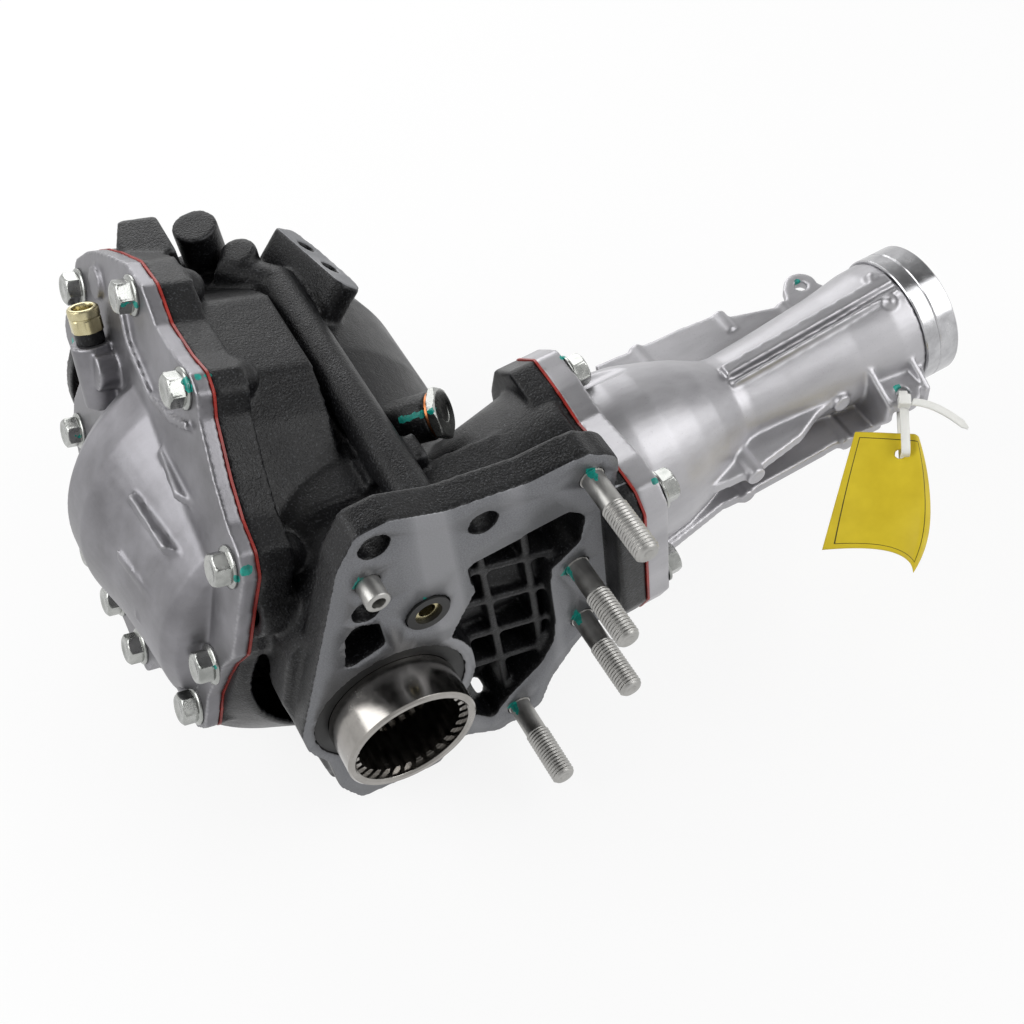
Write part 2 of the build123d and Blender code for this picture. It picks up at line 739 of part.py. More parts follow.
with BuildPart() as ring_carrier:
    revolve(
        input_profile([
            (spigot_radius, sleeve_shoulder), (front_bearing_bore, sleeve_shoulder), (front_bearing_bore, 46),
            (38, 58), (ring_bore - fit_gap, 66), (ring_bore - fit_gap, ring_back), (carrier_flange_radius, ring_back),
            (carrier_flange_radius, ring_back + carrier_flange), (rear_hub_radius, ring_back + carrier_flange),
            (rear_hub_radius, rear_hub_end), (sleeve_bore, rear_hub_end), (sleeve_bore, spigot_end),
            (spigot_radius, spigot_end),
        ]),
        axis=Axis.Y,
    )
    with BuildSketch(face_plane(ring_back)):
        with PolarLocations(ring_bolt_circle, ring_bolt_count):
            Circle(ring_bolt_radius + bolt_gap)
    extrude(amount=-carrier_flange, mode=Mode.SUBTRACT)
finish(ring_carrier, "ring_carrier")

# Ring gear and pinion: tooth spaces lie along the output axis line and shrink to its foot on X = 0
pitch_slope = pinion_teeth / ring_teeth
module_slope = 2 / ring_teeth
tooth_outer_reach = sqrt(ring_outer_radius**2 - output_rise**2)
ring_tip_slope = pitch_slope - ring_addendum * module_slope
ring_root_slope = pitch_slope + (pinion_addendum + tooth_root_gap) * module_slope
pinion_tip_slope = pitch_slope + pinion_addendum * module_slope
pinion_root_slope = pitch_slope - (ring_addendum + tooth_root_gap) * module_slope
ring_inner_radius = sqrt(tooth_inner_reach**2 + output_rise**2)


def space_between(section, near, far):
    """Tooth space lofted between two sections whose size grows with the distance from X = 0."""
    with BuildPart() as space:
        for reach in (near, far):
            with BuildSketch(joint_plane(reach)):
                with BuildLine():
                    Polyline(
                        *[(output_back + reach * y, output_rise + reach * z) for y, z in section],
                        close=True,
                    )
                make_face()
        loft(ruled=True)
    return space.part


def ring_space_section():
    """Straight-sided space of the ring gear, per unit of distance from X = 0."""
    half = pi / (2 * ring_teeth) * (1 + tooth_thinning)
    front = ring_tip_slope - module_slope
    sides = []
    for slope in (front, ring_root_slope):
        sides.append((slope, half - (slope - pitch_slope) * tan(pressure_angle)))
    return [(y, -z) for y, z in sides] + [(y, z) for y, z in reversed(sides)]


def pinion_space_section():
    """Space of the pinion between two involute flanks, centred on the +Y side."""
    base = pitch_slope * cos(pressure_angle)
    tooth_half = pi / (2 * pinion_teeth) * (1 - tooth_thinning)
    involute_at_pitch = tan(pressure_angle) - pressure_angle
    flank = []
    steps = 4
    for step in range(steps + 1):
        radius = pinion_root_slope + (pinion_tip_slope - pinion_root_slope) * step / steps
        angle = acos(min(1, base / radius))
        tooth = tooth_half + involute_at_pitch - (tan(angle) - angle)
        flank.append((radius, pi / pinion_teeth - tooth))
    outer = flank[-1]
    flank.append((outer[0] * 1.15, outer[1] * 1.05))
    lower = [(r * cos(a), -r * sin(a)) for r, a in flank]
    upper = [(r * cos(a), r * sin(a)) for r, a in reversed(flank)]
    return lower + upper


ring_space = space_between(ring_space_section(), tooth_inner_reach - 8, tooth_outer_reach + 8)
with BuildPart() as ring_gear:
    inner_face = output_back + tooth_inner_reach * ring_root_slope + 1
    tip_inner = output_back + tooth_inner_reach * ring_tip_slope
    tip_outer = output_back + tooth_outer_reach * ring_tip_slope
    revolve(
        input_profile([
            (ring_bore, inner_face), (ring_inner_radius - 1, inner_face), (ring_inner_radius, tip_inner),
            (ring_outer_radius, tip_outer), (ring_outer_radius, ring_back), (ring_bore, ring_back),
        ]),
        axis=Axis.Y,
    )
    for tooth in range(ring_teeth):
        add(ring_space.rotate(Axis.Y, tooth * 360 / ring_teeth), mode=Mode.SUBTRACT)
    with BuildSketch(face_plane(ring_back)):
        with PolarLocations(ring_bolt_circle, ring_bolt_count):
            Circle(ring_bolt_radius + fit_gap)
    extrude(amount=ring_bolt_reach + 1, mode=Mode.SUBTRACT)
finish(ring_gear, "ring_gear")

pinion_space = space_between(pinion_space_section(), tooth_inner_reach - 6, tooth_outer_reach + 5)
with BuildPart() as pinion_shaft:
    revolve(
        output_profile([
            (tooth_inner_reach, 0), (tooth_inner_reach, tooth_inner_reach * pinion_tip_slope),
            (tooth_outer_reach, tooth_outer_reach * pinion_tip_slope), (tooth_outer_reach + 1, 19.5),
            (tooth_outer_reach + 1, 0),
        ]),
        axis=output_axis,
    )
    for tooth in range(pinion_teeth):
        turned = pinion_space.rotate(output_axis, (tooth + 0.5) * 360 / pinion_teeth)
        add(turned, mode=Mode.SUBTRACT)
    revolve(
        output_profile([
            (tooth_outer_reach, 0), (tooth_outer_reach, 18.5), (head_bearing_start - shim_thickness, 20),
            (head_bearing_start - shim_thickness, head_bearing_bore - fit_gap),
            (tail_bearing_start, head_bearing_bore - fit_gap), (tail_bearing_start, tail_bearing_bore - fit_gap),
            (nut_start, tail_bearing_bore - fit_gap), (nut_start, nut_thread_radius),
            (nut_start + nut_height + 4, nut_thread_radius), (nut_start + nut_height + 6, output_shank_radius),
            (output_spline_start - 4, output_shank_radius), (output_spline_start - 2, output_spline_tip),
            (output_spline_end - 1.5, output_spline_tip), (output_spline_end, output_spline_root),
            (output_spline_end, 0),
        ]),
        axis=output_axis,
    )
    with BuildSketch(joint_plane(output_spline_start)):
        narrow, wide = output_spline_half_widths
        with Locations((output_back, output_rise)):
            with PolarLocations(0, output_spline_teeth):
                Polygon(
                    (output_spline_root, -narrow), (output_spline_tip + 0.5, -wide),
                    (output_spline_tip + 0.5, wide), (output_spline_root, narrow), align=None,
                )
    extrude(amount=output_spline_end - output_spline_start, mode=Mode.SUBTRACT)
finish(pinion_shaft, "pinion_shaft")


def bearing(name, profile, axis, centre, bore, radius, start, width, count, small_end):
    """Tapered roller bearing of cup, cone and rollers, which narrow away from start where small_end is 1."""
    section = radius - bore
    ends = (start, start + width) if small_end > 0 else (start + width, start)
    big, small = ends
    way = 1 if small > big else -1
    cone_big = bore + 0.36 * section
    cone_small = bore + 0.20 * section
    roller_big = 0.19 * section
    roller_small = 0.16 * section
    inset = 0.14 * width
    race = [(cone_big, big), (cone_small, small)][::way]
    with BuildPart() as cone:
        revolve(profile([(bore, start), *race, (bore, start + width)]), axis=axis)
    finish(cone, f"{name}_cone")
    cup_big = cone_big + 2 * roller_big + running_gap + 0.12
    cup_small = cone_small + 2 * roller_small + running_gap + 0.12
    with BuildPart() as cup:
        revolve(
            profile([(cup_big, big), (radius - fit_gap, big), (radius - fit_gap, small), (cup_small, small)]),
            axis=axis,
        )
    finish(cup, f"{name}_cup")
    near_roller = big + way * inset
    far_roller = small - way * inset
    near_centre = cone_big + roller_big + 0.06 + (cone_small - cone_big) * inset / width
    far_centre = cone_small + roller_small + 0.06 - (cone_small - cone_big) * inset / width
    with BuildPart() as rollers:
        for turn in range(count):
            with BuildSketch(centre(near_roller)):
                with Locations(Location((0, 0, 0), (0, 0, turn * 360 / count))):
                    with Locations((near_centre, 0)):
                        Circle(roller_big)
            with BuildSketch(centre(far_roller)):
                with Locations(Location((0, 0, 0), (0, 0, turn * 360 / count))):
                    with Locations((far_centre, 0)):
                        Circle(roller_small)
            loft()
    finish(rollers, f"{name}_rollers")


def flipped(profile):
    return lambda points: profile([(b, a) for a, b in points])


def output_centre(x):
    return Plane(origin=(x, output_back, output_rise), x_dir=(0, 1, 0), z_dir=(1, 0, 0))


bearing(
    "front_bearing", input_profile, Axis.Y, face_plane, front_bearing_bore, front_bearing_radius,
    front_bearing_start, front_bearing_width, 18, -1,
)
bearing(
    "rear_bearing", input_profile, Axis.Y, face_plane, journal_radius, rear_bearing_radius,
    rear_bearing_start, rear_bearing_width, 18, 1,
)
bearing(
    "head_bearing", flipped(output_profile), output_axis, output_centre, head_bearing_bore, head_bearing_radius,
    head_bearing_start, head_bearing_width, 13, 1,
)
bearing(
    "tail_bearing", flipped(output_profile), output_axis, output_centre, tail_bearing_bore, tail_bearing_radius,
    tail_bearing_start, tail_bearing_width, 12, -1,
)

# Pieces on the output shaft
with BuildPart() as pinion_shim:
    revolve(
        output_profile([
            (head_bearing_start - shim_thickness, head_bearing_bore), (head_bearing_start - shim_thickness, 21),
            (head_bearing_start, 21), (head_bearing_start, head_bearing_bore),
        ]),
        axis=output_axis,
    )
finish(pinion_shim, "pinion_shim")

spacer_start = head_bearing_start + head_bearing_width
with BuildPart() as crush_spacer:
    middle = (spacer_start + tail_bearing_start) / 2
    revolve(
        output_profile([
            (spacer_start, head_bearing_bore), (spacer_start, head_bearing_bore + 2.5), (middle, head_bearing_bore + 4),
            (tail_bearing_start, head_bearing_bore + 2.5), (tail_bearing_start, head_bearing_bore),
            (middle, head_bearing_bore + 1.5),
        ]),
        axis=output_axis,
    )
finish(crush_spacer, "crush_spacer")

with BuildPart() as pinion_nut:
    with BuildSketch(output_centre(nut_start)):
        Circle(nut_flats / 2 + 1.5)
    extrude(amount=3)
    with BuildSketch(output_centre(nut_start)):
        RegularPolygon(nut_flats / 2, 6, major_radius=False)
    extrude(amount=nut_height)
    with BuildSketch(output_centre(nut_start)):
        Circle(nut_thread_radius + fit_gap)
    extrude(amount=nut_height, mode=Mode.SUBTRACT)
finish(pinion_nut, "pinion_nut")

# Coupling drum and its hub
with BuildPart() as coupling_drum:
    revolve(
        input_profile([
            (rear_hub_radius + fit_gap, drum_start), (drum_radius, drum_start), (drum_radius, drum_end),
            (journal_radius - fit_gap, drum_end), (journal_radius - fit_gap, journal_end), (journal_bore, journal_end),
            (journal_bore, drum_end - drum_wall), (drum_radius - drum_wall, drum_end - drum_wall),
            (drum_radius - drum_wall, drum_start + drum_wall), (rear_hub_radius + fit_gap, drum_start + drum_wall),
        ]),
        axis=Axis.Y,
    )
finish(coupling_drum, "coupling_drum")

hub_start = rear_hub_end + 1
hub_end = drum_end - drum_wall - 1
with BuildPart() as coupling_hub:
    revolve(
        input_profile([
            (hub_bore, hub_start), (hub_radius, hub_start), (hub_radius, hub_end), (journal_bore - running_gap, hub_end),
            (journal_bore - running_gap, journal_end - 6), (hub_bore, journal_end - 6),
        ]),
        axis=Axis.Y,
    )
finish(coupling_hub, "coupling_hub")

plate_pitch = (drum_end - drum_start - 2 * drum_wall) / (2 * coupling_plates + 1)
with BuildPart() as outer_plates:
    for plate in range(coupling_plates):
        with BuildSketch(face_plane(drum_start + drum_wall + (2 * plate + 1) * plate_pitch)):
            Circle(drum_radius - drum_wall - fit_gap)
            Circle(hub_radius + 3, mode=Mode.SUBTRACT)
        extrude(amount=-coupling_plate)
finish(outer_plates, "outer_plates")

with BuildPart() as inner_plates:
    for plate in range(coupling_plates):
        with BuildSketch(face_plane(drum_start + drum_wall + (2 * plate + 2) * plate_pitch)):
            Circle(drum_radius - drum_wall - 4)
            Circle(hub_radius + fit_gap, mode=Mode.SUBTRACT)
        extrude(amount=-coupling_plate)
finish(inner_plates, "inner_plates")

# Rear bearing retainer closing the back of the case
rear_bearing_end = rear_bearing_start + rear_bearing_width
bearing_stop = rear_bearing_end + 6
with BuildPart() as side_retainer:
    revolve(
        input_profile([
            (rear_bearing_radius, rear_bearing_start - 1), (retainer_radius - 0.05, rear_bearing_start - 1),
            (retainer_radius - 0.05, case_back), (retainer_flange_radius, case_back),
            (retainer_flange_radius, case_back + retainer_flange), (rear_seal_radius, case_back + retainer_flange),
            (rear_seal_radius, case_back - 2), (30, case_back - 2), (30, bearing_stop),
            (rear_bearing_radius - 5, bearing_stop), (rear_bearing_radius - 5, rear_bearing_end),
            (rear_bearing_radius, rear_bearing_end),
        ]),
        axis=Axis.Y,
    )
    with Locations(*placed(face_plane(case_back), retainer_bolts_at)):
        Cylinder(bolt_radius + bolt_gap, 4 * retainer_flange, mode=Mode.SUBTRACT)
finish(side_retainer, "side_retainer")


def seal_ring(name, axis, profile, inner, outer, start, end):
    """Rubber shaft seal with its lip a running gap clear of the shaft."""
    lip = inner + running_gap
    with BuildPart() as ring:
        revolve(
            profile([
                (outer - fit_gap, start), (outer - fit_gap, end), (lip, end), (lip, end - 1.2), (lip + 1.6, end - 2.4),
                (lip + 1.6, start + 1.5), (lip, start + 0.8), (lip, start),
            ]),
            axis=axis,
        )
    finish(ring, name)


seal_ring("input_seal", Axis.Y, input_profile, sleeve_seat_radius, seal_bore, 1, seal_depth)
seal_ring(
    "rear_seal", Axis.Y, input_profile, rear_seal_bore, rear_seal_radius,
    case_back - 2, case_back + retainer_flange - 2,
)

# Sealant between the faces
with BuildPart() as cover_sealant:
    with BuildSketch(cover_plane(cover_distance)):
        add(outline(Plane.XY, [(-y, u) for y, u in cover_outline], 5))
        add(outline(Plane.XY, [(-y, u) for y, u in cover_mouth], 5), mode=Mode.SUBTRACT)
        with Locations(*cover_bolt_spots):
            Circle(bolt_radius + bolt_gap, mode=Mode.SUBTRACT)
    extrude(amount=sealant)
finish(cover_sealant, "cover_sealant")

with BuildPart() as joint_sealant:
    with BuildSketch(joint_plane(joint_face)):
        add(outline(Plane.XY, joint_outline, 5))
        with Locations((output_back, output_rise)):
            Circle(joint_mouth, mode=Mode.SUBTRACT)
        with Locations(*joint_bolts_at):
            Circle(bolt_radius + bolt_gap, mode=Mode.SUBTRACT)
    extrude(amount=sealant)
finish(joint_sealant, "joint_sealant")

# Fasteners
with BuildPart() as cover_bolts:
    with Locations(*placed(cover_plane(cover_distance + sealant + cover_flange), cover_bolt_spots)):
        add(hex_bolt(cover_flange + sealant + bolt_reach))
finish(cover_bolts, "cover_bolts")

with BuildPart() as joint_bolts:
    with Locations(*placed(joint_plane(joint_face + sealant + joint_flange), joint_bolts_at)):
        add(hex_bolt(joint_flange + sealant + bolt_reach))
finish(joint_bolts, "joint_bolts")

back_plane = Plane(origin=(0, case_back + retainer_flange, 0), x_dir=(-1, 0, 0), z_dir=(0, 1, 0))
with BuildPart() as retainer_bolts:
    with Locations(*placed(back_plane, [(-x, z) for x, z in retainer_bolts_at])):
        add(hex_bolt(retainer_flange + bolt_reach))
finish(retainer_bolts, "retainer_bolts")

ring_bolt_plane = Plane(origin=(0, ring_back + carrier_flange, 0), x_dir=(-1, 0, 0), z_dir=(0, 1, 0))
with BuildPart() as ring_bolts:
    with Locations(ring_bolt_plane.location):
        with PolarLocations(ring_bolt_circle, ring_bolt_count):
            Cylinder(
                ring_bolt_radius, carrier_flange + ring_bolt_reach, align=(Align.CENTER, Align.CENTER, Align.MAX),
            )
            Cylinder(ring_bolt_head_radius, ring_bolt_head, align=(Align.CENTER, Align.CENTER, Align.MIN))
finish(ring_bolts, "ring_bolts")

with BuildPart() as studs:
    for spot in studs_at:
        for start, end, radius in (
            (stud_depth - 0.5, 0, stud_radius),
            (0, -stud_shank, stud_shank_radius),
            (-stud_shank, -stud_projection, stud_radius),
        ):
            with BuildSketch(face_plane(start)):
                with Locations(spot):
                    Circle(radius)
            extrude(amount=start - end)
    chamfer(studs.faces().sort_by(Axis.Y)[:len(studs_at)].edges(), stud_chamfer)
finish(studs, "studs")

with BuildPart() as dowel:
    with BuildSketch(face_plane(dowel_depth)):
        with Locations(dowel_at):
            Circle(dowel_radius)
            Circle(dowel_bore, mode=Mode.SUBTRACT)
    extrude(amount=dowel_depth + dowel_projection)
    chamfer(dowel.faces().sort_by(Axis.Y)[0].edges(), 0.8)
finish(dowel, "dowel")

with BuildPart() as gallery_seal:
    with BuildSketch(face_plane(side_seal_depth)):
        with Locations(side_seal_at):
            Circle(side_seal_radius)
            Circle(gallery_insert_radius, mode=Mode.SUBTRACT)
    extrude(amount=side_seal_depth + 1)
finish(gallery_seal, "gallery_seal")

with BuildPart() as gallery_insert:
    with BuildSketch(face_plane(side_seal_depth)):
        with Locations(side_seal_at):
            Circle(gallery_insert_radius - fit_gap)
            Circle(gallery_bore, mode=Mode.SUBTRACT)
    extrude(amount=side_seal_depth - 1)
finish(gallery_insert, "gallery_insert")

with BuildPart() as level_plug:
    with BuildSketch(plug_plane):
        Circle(plug_thread_radius)
    extrude(amount=-plug_thread_length)
    with BuildSketch(plug_plane.offset(plug_washer)):
        RegularPolygon(plug_flats / 2, 6, major_radius=False)
    extrude(amount=plug_head)
    with BuildSketch(plug_plane.offset(plug_washer)):
        Circle(plug_thread_radius)
    extrude(amount=-plug_washer)
finish(level_plug, "level_plug")

with BuildPart() as level_plug_washer:
    with BuildSketch(plug_plane):
        Circle(plug_washer_radius)
        Circle(plug_thread_radius + fit_gap, mode=Mode.SUBTRACT)
    extrude(amount=plug_washer)
finish(level_plug_washer, "level_plug_washer")

with BuildPart() as filler_plug:
    with BuildSketch(filler_plane):
        Circle(filler_thread_radius)
    extrude(amount=-filler_thread_length)
    with BuildSketch(filler_plane):
        Circle(filler_thread_radius)
    extrude(amount=filler_washer)
    with BuildSketch(filler_plane.offset(filler_washer)):
        Circle(filler_head_radius)
    extrude(amount=filler_head)
    with BuildSketch(filler_plane.offset(filler_washer + filler_head)):
        RegularPolygon(filler_socket / 2, 6, major_radius=False)
    extrude(amount=-filler_head + 3, mode=Mode.SUBTRACT)
finish(filler_plug, "filler_plug")

with BuildPart() as filler_collar:
    with BuildSketch(filler_plane):
        Circle(filler_collar_radius)
        Circle(filler_thread_radius + fit_gap, mode=Mode.SUBTRACT)
    extrude(amount=filler_washer)
finish(filler_collar, "filler_collar")

# Cable tie through the front ear, and the tag that it carries
ear = extension_ears_at[0]
loop_run = (-20.0, -29.0, -5.0)
loop_length = sqrt(sum(step**2 for step in loop_run))
loop_along = tuple(step / loop_length for step in loop_run)
loop_side = (-loop_along[1] / sqrt(1 - loop_along[2] ** 2), loop_along[0] / sqrt(1 - loop_along[2] ** 2), 0)
loop_plane = Plane(origin=(ear[0], ear[1], output_rise), x_dir=loop_along, z_dir=loop_side)
tag_plane = Plane(
    origin=(ear[0] + loop_run[0], ear[1] + loop_run[1], output_rise + loop_run[2]),
    x_dir=loop_side, z_dir=loop_plane.y_dir,
)
with BuildPart() as cable_tie:
    with BuildSketch(loop_plane):
        with Locations((loop_length / 2, 0)):
            RectangleRounded(loop_length + tie_thickness, loop_height + tie_thickness, 3)
            RectangleRounded(loop_length - tie_thickness, loop_height - tie_thickness, 2, mode=Mode.SUBTRACT)
    extrude(amount=tie_width / 2, both=True)
    head_at = loop_plane.location * Location((tie_head_at, -loop_height / 2 - tie_head_rise, 0))
    with Locations(head_at):
        Box(tie_head, tie_head, tie_head + 1)
    with Locations(head_at * Location((tie_head / 2, -1, 0))):
        Box(tie_tail, tie_thickness, tie_width, align=(Align.MIN, Align.CENTER, Align.CENTER))
finish(cable_tie, "cable_tie")

with BuildPart() as tag:
    with BuildSketch(tag_plane):
        with Locations(Location((tag_shift[0], tag_shift[1], 0), (0, 0, tag_turn))):
            RectangleRounded(*tag_size, 3)
        Circle(tag_hole, mode=Mode.SUBTRACT)
    extrude(amount=tag_thickness / 2, both=True)
finish(tag, "tag")
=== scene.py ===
import json
import math

import bmesh
import bpy
import numpy as np
from mathutils import Matrix, Vector


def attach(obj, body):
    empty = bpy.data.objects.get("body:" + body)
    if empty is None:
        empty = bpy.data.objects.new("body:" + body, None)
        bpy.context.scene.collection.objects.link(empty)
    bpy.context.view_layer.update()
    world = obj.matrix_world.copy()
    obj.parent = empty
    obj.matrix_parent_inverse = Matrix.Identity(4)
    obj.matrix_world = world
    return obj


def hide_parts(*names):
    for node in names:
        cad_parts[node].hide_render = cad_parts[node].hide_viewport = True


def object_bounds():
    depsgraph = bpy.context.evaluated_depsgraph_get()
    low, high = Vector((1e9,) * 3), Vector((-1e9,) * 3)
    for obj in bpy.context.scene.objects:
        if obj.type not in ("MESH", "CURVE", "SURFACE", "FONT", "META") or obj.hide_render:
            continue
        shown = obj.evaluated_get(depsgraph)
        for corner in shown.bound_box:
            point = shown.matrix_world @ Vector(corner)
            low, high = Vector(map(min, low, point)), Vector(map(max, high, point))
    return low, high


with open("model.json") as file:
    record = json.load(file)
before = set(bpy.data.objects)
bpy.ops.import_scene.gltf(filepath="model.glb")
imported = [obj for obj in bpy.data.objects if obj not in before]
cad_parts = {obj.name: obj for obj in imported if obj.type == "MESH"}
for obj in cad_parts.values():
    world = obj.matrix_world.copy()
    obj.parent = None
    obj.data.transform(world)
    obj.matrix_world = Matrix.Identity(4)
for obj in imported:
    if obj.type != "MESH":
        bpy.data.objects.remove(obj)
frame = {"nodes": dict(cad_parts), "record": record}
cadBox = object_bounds()
nodes = frame["nodes"]
print("frame loaded:", len(nodes), "nodes")

# camera of the photograph: place, right, down and forward directions, in the row frame
cameraFacts = {
    "place": (-0.0494, -0.3249, 0.5961),
    "right": (0.8592, -0.5084, -0.0566),
    "down": (-0.4404, -0.6789, -0.5875),
    "forward": (0.2603, 0.5297, -0.8072),
    "focalPixels": 1449.19,
    "principalPoint": (585.54, 467.20),
    "imageSize": 1024,
}
lightFacts = [
    # name, place, aimed at, size, watts
    ("softboxLeft", (-0.75, 0.35, 0.85), (0.0, 0.1, 0.0), 0.9, 9.0),
    ("softboxRight", (0.9, -0.45, 0.8), (0.1, 0.05, 0.0), 0.8, 7.0),
    ("softboxBack", (0.25, 1.1, 0.55), (0.1, 0.05, 0.0), 0.9, 6.0),
]
coverTilt = math.radians(22)
coverNormal = Vector((-math.cos(coverTilt), 0, math.sin(coverTilt)))


def linear(hexColour):
    # sRGB hex value to linear light, channel by channel
    channels = [int(hexColour[i:i + 2], 16) / 255 for i in (1, 3, 5)]
    return tuple(c / 12.92 if c <= 0.04045 else ((c + 0.055) / 1.055) ** 2.4 for c in channels) + (1.0,)


def addNode(tree, kind, settings=None, links=None):
    # adds one node; settings name its inputs or its properties, links name its inputs
    node = tree.nodes.new(kind)
    for name, value in (settings or {}).items():
        if isinstance(name, int) or name in node.inputs:
            node.inputs[name].default_value = value
        else:
            setattr(node, name, value)
    for name, source in (links or {}).items():
        tree.links.new(source, node.inputs[name])
    return node


def newMaterial(name, shader):
    material = bpy.data.materials.new(name)
    material.use_nodes = True
    tree = material.node_tree
    tree.nodes.clear()
    principled = addNode(tree, "ShaderNodeBsdfPrincipled", shader)
    addNode(tree, "ShaderNodeOutputMaterial", links={"Surface": principled.outputs["BSDF"]})
    return material, tree, principled


def noiseAt(tree, millimetres, detail=3.0, roughness=0.55, stretch=(1, 1, 1)):
    # noise whose lumps measure about the given millimetres
    place = addNode(tree, "ShaderNodeTexCoord")
    mapping = addNode(tree, "ShaderNodeMapping", {"Scale": stretch}, {"Vector": place.outputs["Object"]})
    noise = addNode(
        tree, "ShaderNodeTexNoise", {"Scale": 1000 / millimetres, "Detail": detail, "Roughness": roughness},
        {"Vector": mapping.outputs["Vector"]},
    )
    return noise.outputs["Fac"]


def spread(tree, value, low, high, fromLow=0.3, fromHigh=0.7):
    ranged = addNode(
        tree, "ShaderNodeMapRange",
        {"From Min": fromLow, "From Max": fromHigh, "To Min": low, "To Max": high}, {"Value": value},
    )
    return ranged.outputs["Result"]


def blendColours(tree, factor, first, second):
    # first and second are hex colours or sockets
    mix = addNode(tree, "ShaderNodeMix", {"data_type": "RGBA"}, {0: factor})
    for socket, colour in ((6, first), (7, second)):
        if isinstance(colour, str):
            mix.inputs[socket].default_value = linear(colour)
        else:
            tree.links.new(colour, mix.inputs[socket])
    return mix.outputs[2]


def blendValues(tree, factor, first, second):
    mix = addNode(tree, "ShaderNodeMix", {"data_type": "FLOAT"}, {0: factor})
    for socket, value in ((2, first), (3, second)):
        if isinstance(value, (int, float)):
            mix.inputs[socket].default_value = value
        else:
            tree.links.new(value, mix.inputs[socket])
    return mix.outputs[0]


def roundedNormal(tree, millimetres):
    # the eye sees a small radius on every cast or cut edge
    return addNode(tree, "ShaderNodeBevel", {"Radius": millimetres / 1000, "samples": 4}).outputs["Normal"]


def bumped(tree, height, millimetres, strength, normal=None):
    links = {"Height": height}
    if normal is not None:
        links["Normal"] = normal
    bump = addNode(tree, "ShaderNodeBump", {"Strength": strength, "Distance": millimetres / 1000}, links)
    return bump.outputs["Normal"]


def mathNode(tree, operation, first, second=None, third=None):
    node = addNode(tree, "ShaderNodeMath", {"operation": operation})
    for index, value in enumerate((first, second, third)):
        if value is None:
            continue
        if isinstance(value, (int, float)):
            node.inputs[index].default_value = value
        else:
            tree.links.new(value, node.inputs[index])
    return node.outputs[0]


# faces of the black case that are cut bare: the mounting face, and the pad on the back with its own axis
cutFaces = [
    {"middle": (0.04, 0, 0.02), "normal": (0, -1, 0), "reach": 0.16},
    {"middle": (0.069, 0.191, 0.088), "normal": (0.7501, 0.1553, 0.6428), "reach": 0.036},
]
cutDepth = 0.0004  # how far off the plane still counts


def onCutFace(tree, facts):
    # 1 where the surface lies in the plane through the middle and within reach of it
    place = addNode(tree, "ShaderNodeTexCoord").outputs["Object"]
    kind = "ShaderNodeVectorMath"
    offset = addNode(tree, kind, {"operation": "SUBTRACT", 1: facts["middle"]}, {0: place}).outputs[0]
    height = addNode(tree, kind, {"operation": "DOT_PRODUCT", 1: facts["normal"]}, {0: offset}).outputs["Value"]
    away = addNode(tree, kind, {"operation": "LENGTH"}, {0: offset}).outputs["Value"]
    flat = mathNode(tree, "COMPARE", height, 0.0, cutDepth)
    inside = mathNode(tree, "LESS_THAN", away, facts["reach"])
    return mathNode(tree, "MULTIPLY", flat, inside)


# margin is added to each point's nearness, so that a piece without any, which reads 0, has no paint
dabFacts = {"margin": 0.004, "ragged": 0.0022, "lump": 2.2, "colours": ("#0d6e66", "#15a394")}


def withDabs(tree, principled, colour, metallic):
    # teal marking paint, which isn't metal, where the nearness to a dab passes the margin, frayed by noise
    near = addNode(tree, "ShaderNodeAttribute", {"attribute_name": "dabNearness"}).outputs["Fac"]
    rough = mathNode(tree, "MULTIPLY_ADD", noiseAt(tree, dabFacts["lump"], 2.0), -dabFacts["ragged"], near)
    painted = mathNode(tree, "GREATER_THAN", rough, dabFacts["margin"] - dabFacts["ragged"] / 2)
    teal = blendColours(tree, spread(tree, noiseAt(tree, 2.5), 0, 1), *dabFacts["colours"])
    tree.links.new(blendColours(tree, painted, colour, teal), principled.inputs["Base Color"])
    bare = mathNode(tree, "SUBTRACT", 1.0, painted)
    tree.links.new(mathNode(tree, "MULTIPLY", bare, metallic), principled.inputs["Metallic"])


def alongEdges(tree, amount, low, high):
    # amount on the outer edges, where handling wears and brightens a casting, uneven by noise
    # only on castings, because the CAD nodes' loose triangles have no edges in common
    curve = addNode(tree, "ShaderNodeNewGeometry").outputs["Pointiness"]
    uneven = mathNode(tree, "MULTIPLY_ADD", noiseAt(tree, 5.0, 3.0), 0.03, curve)
    cast = addNode(tree, "ShaderNodeAttribute", {"attribute_name": "castSkin"}).outputs["Fac"]
    return mathNode(tree, "MULTIPLY", spread(tree, uneven, 0, amount, low, high), cast)


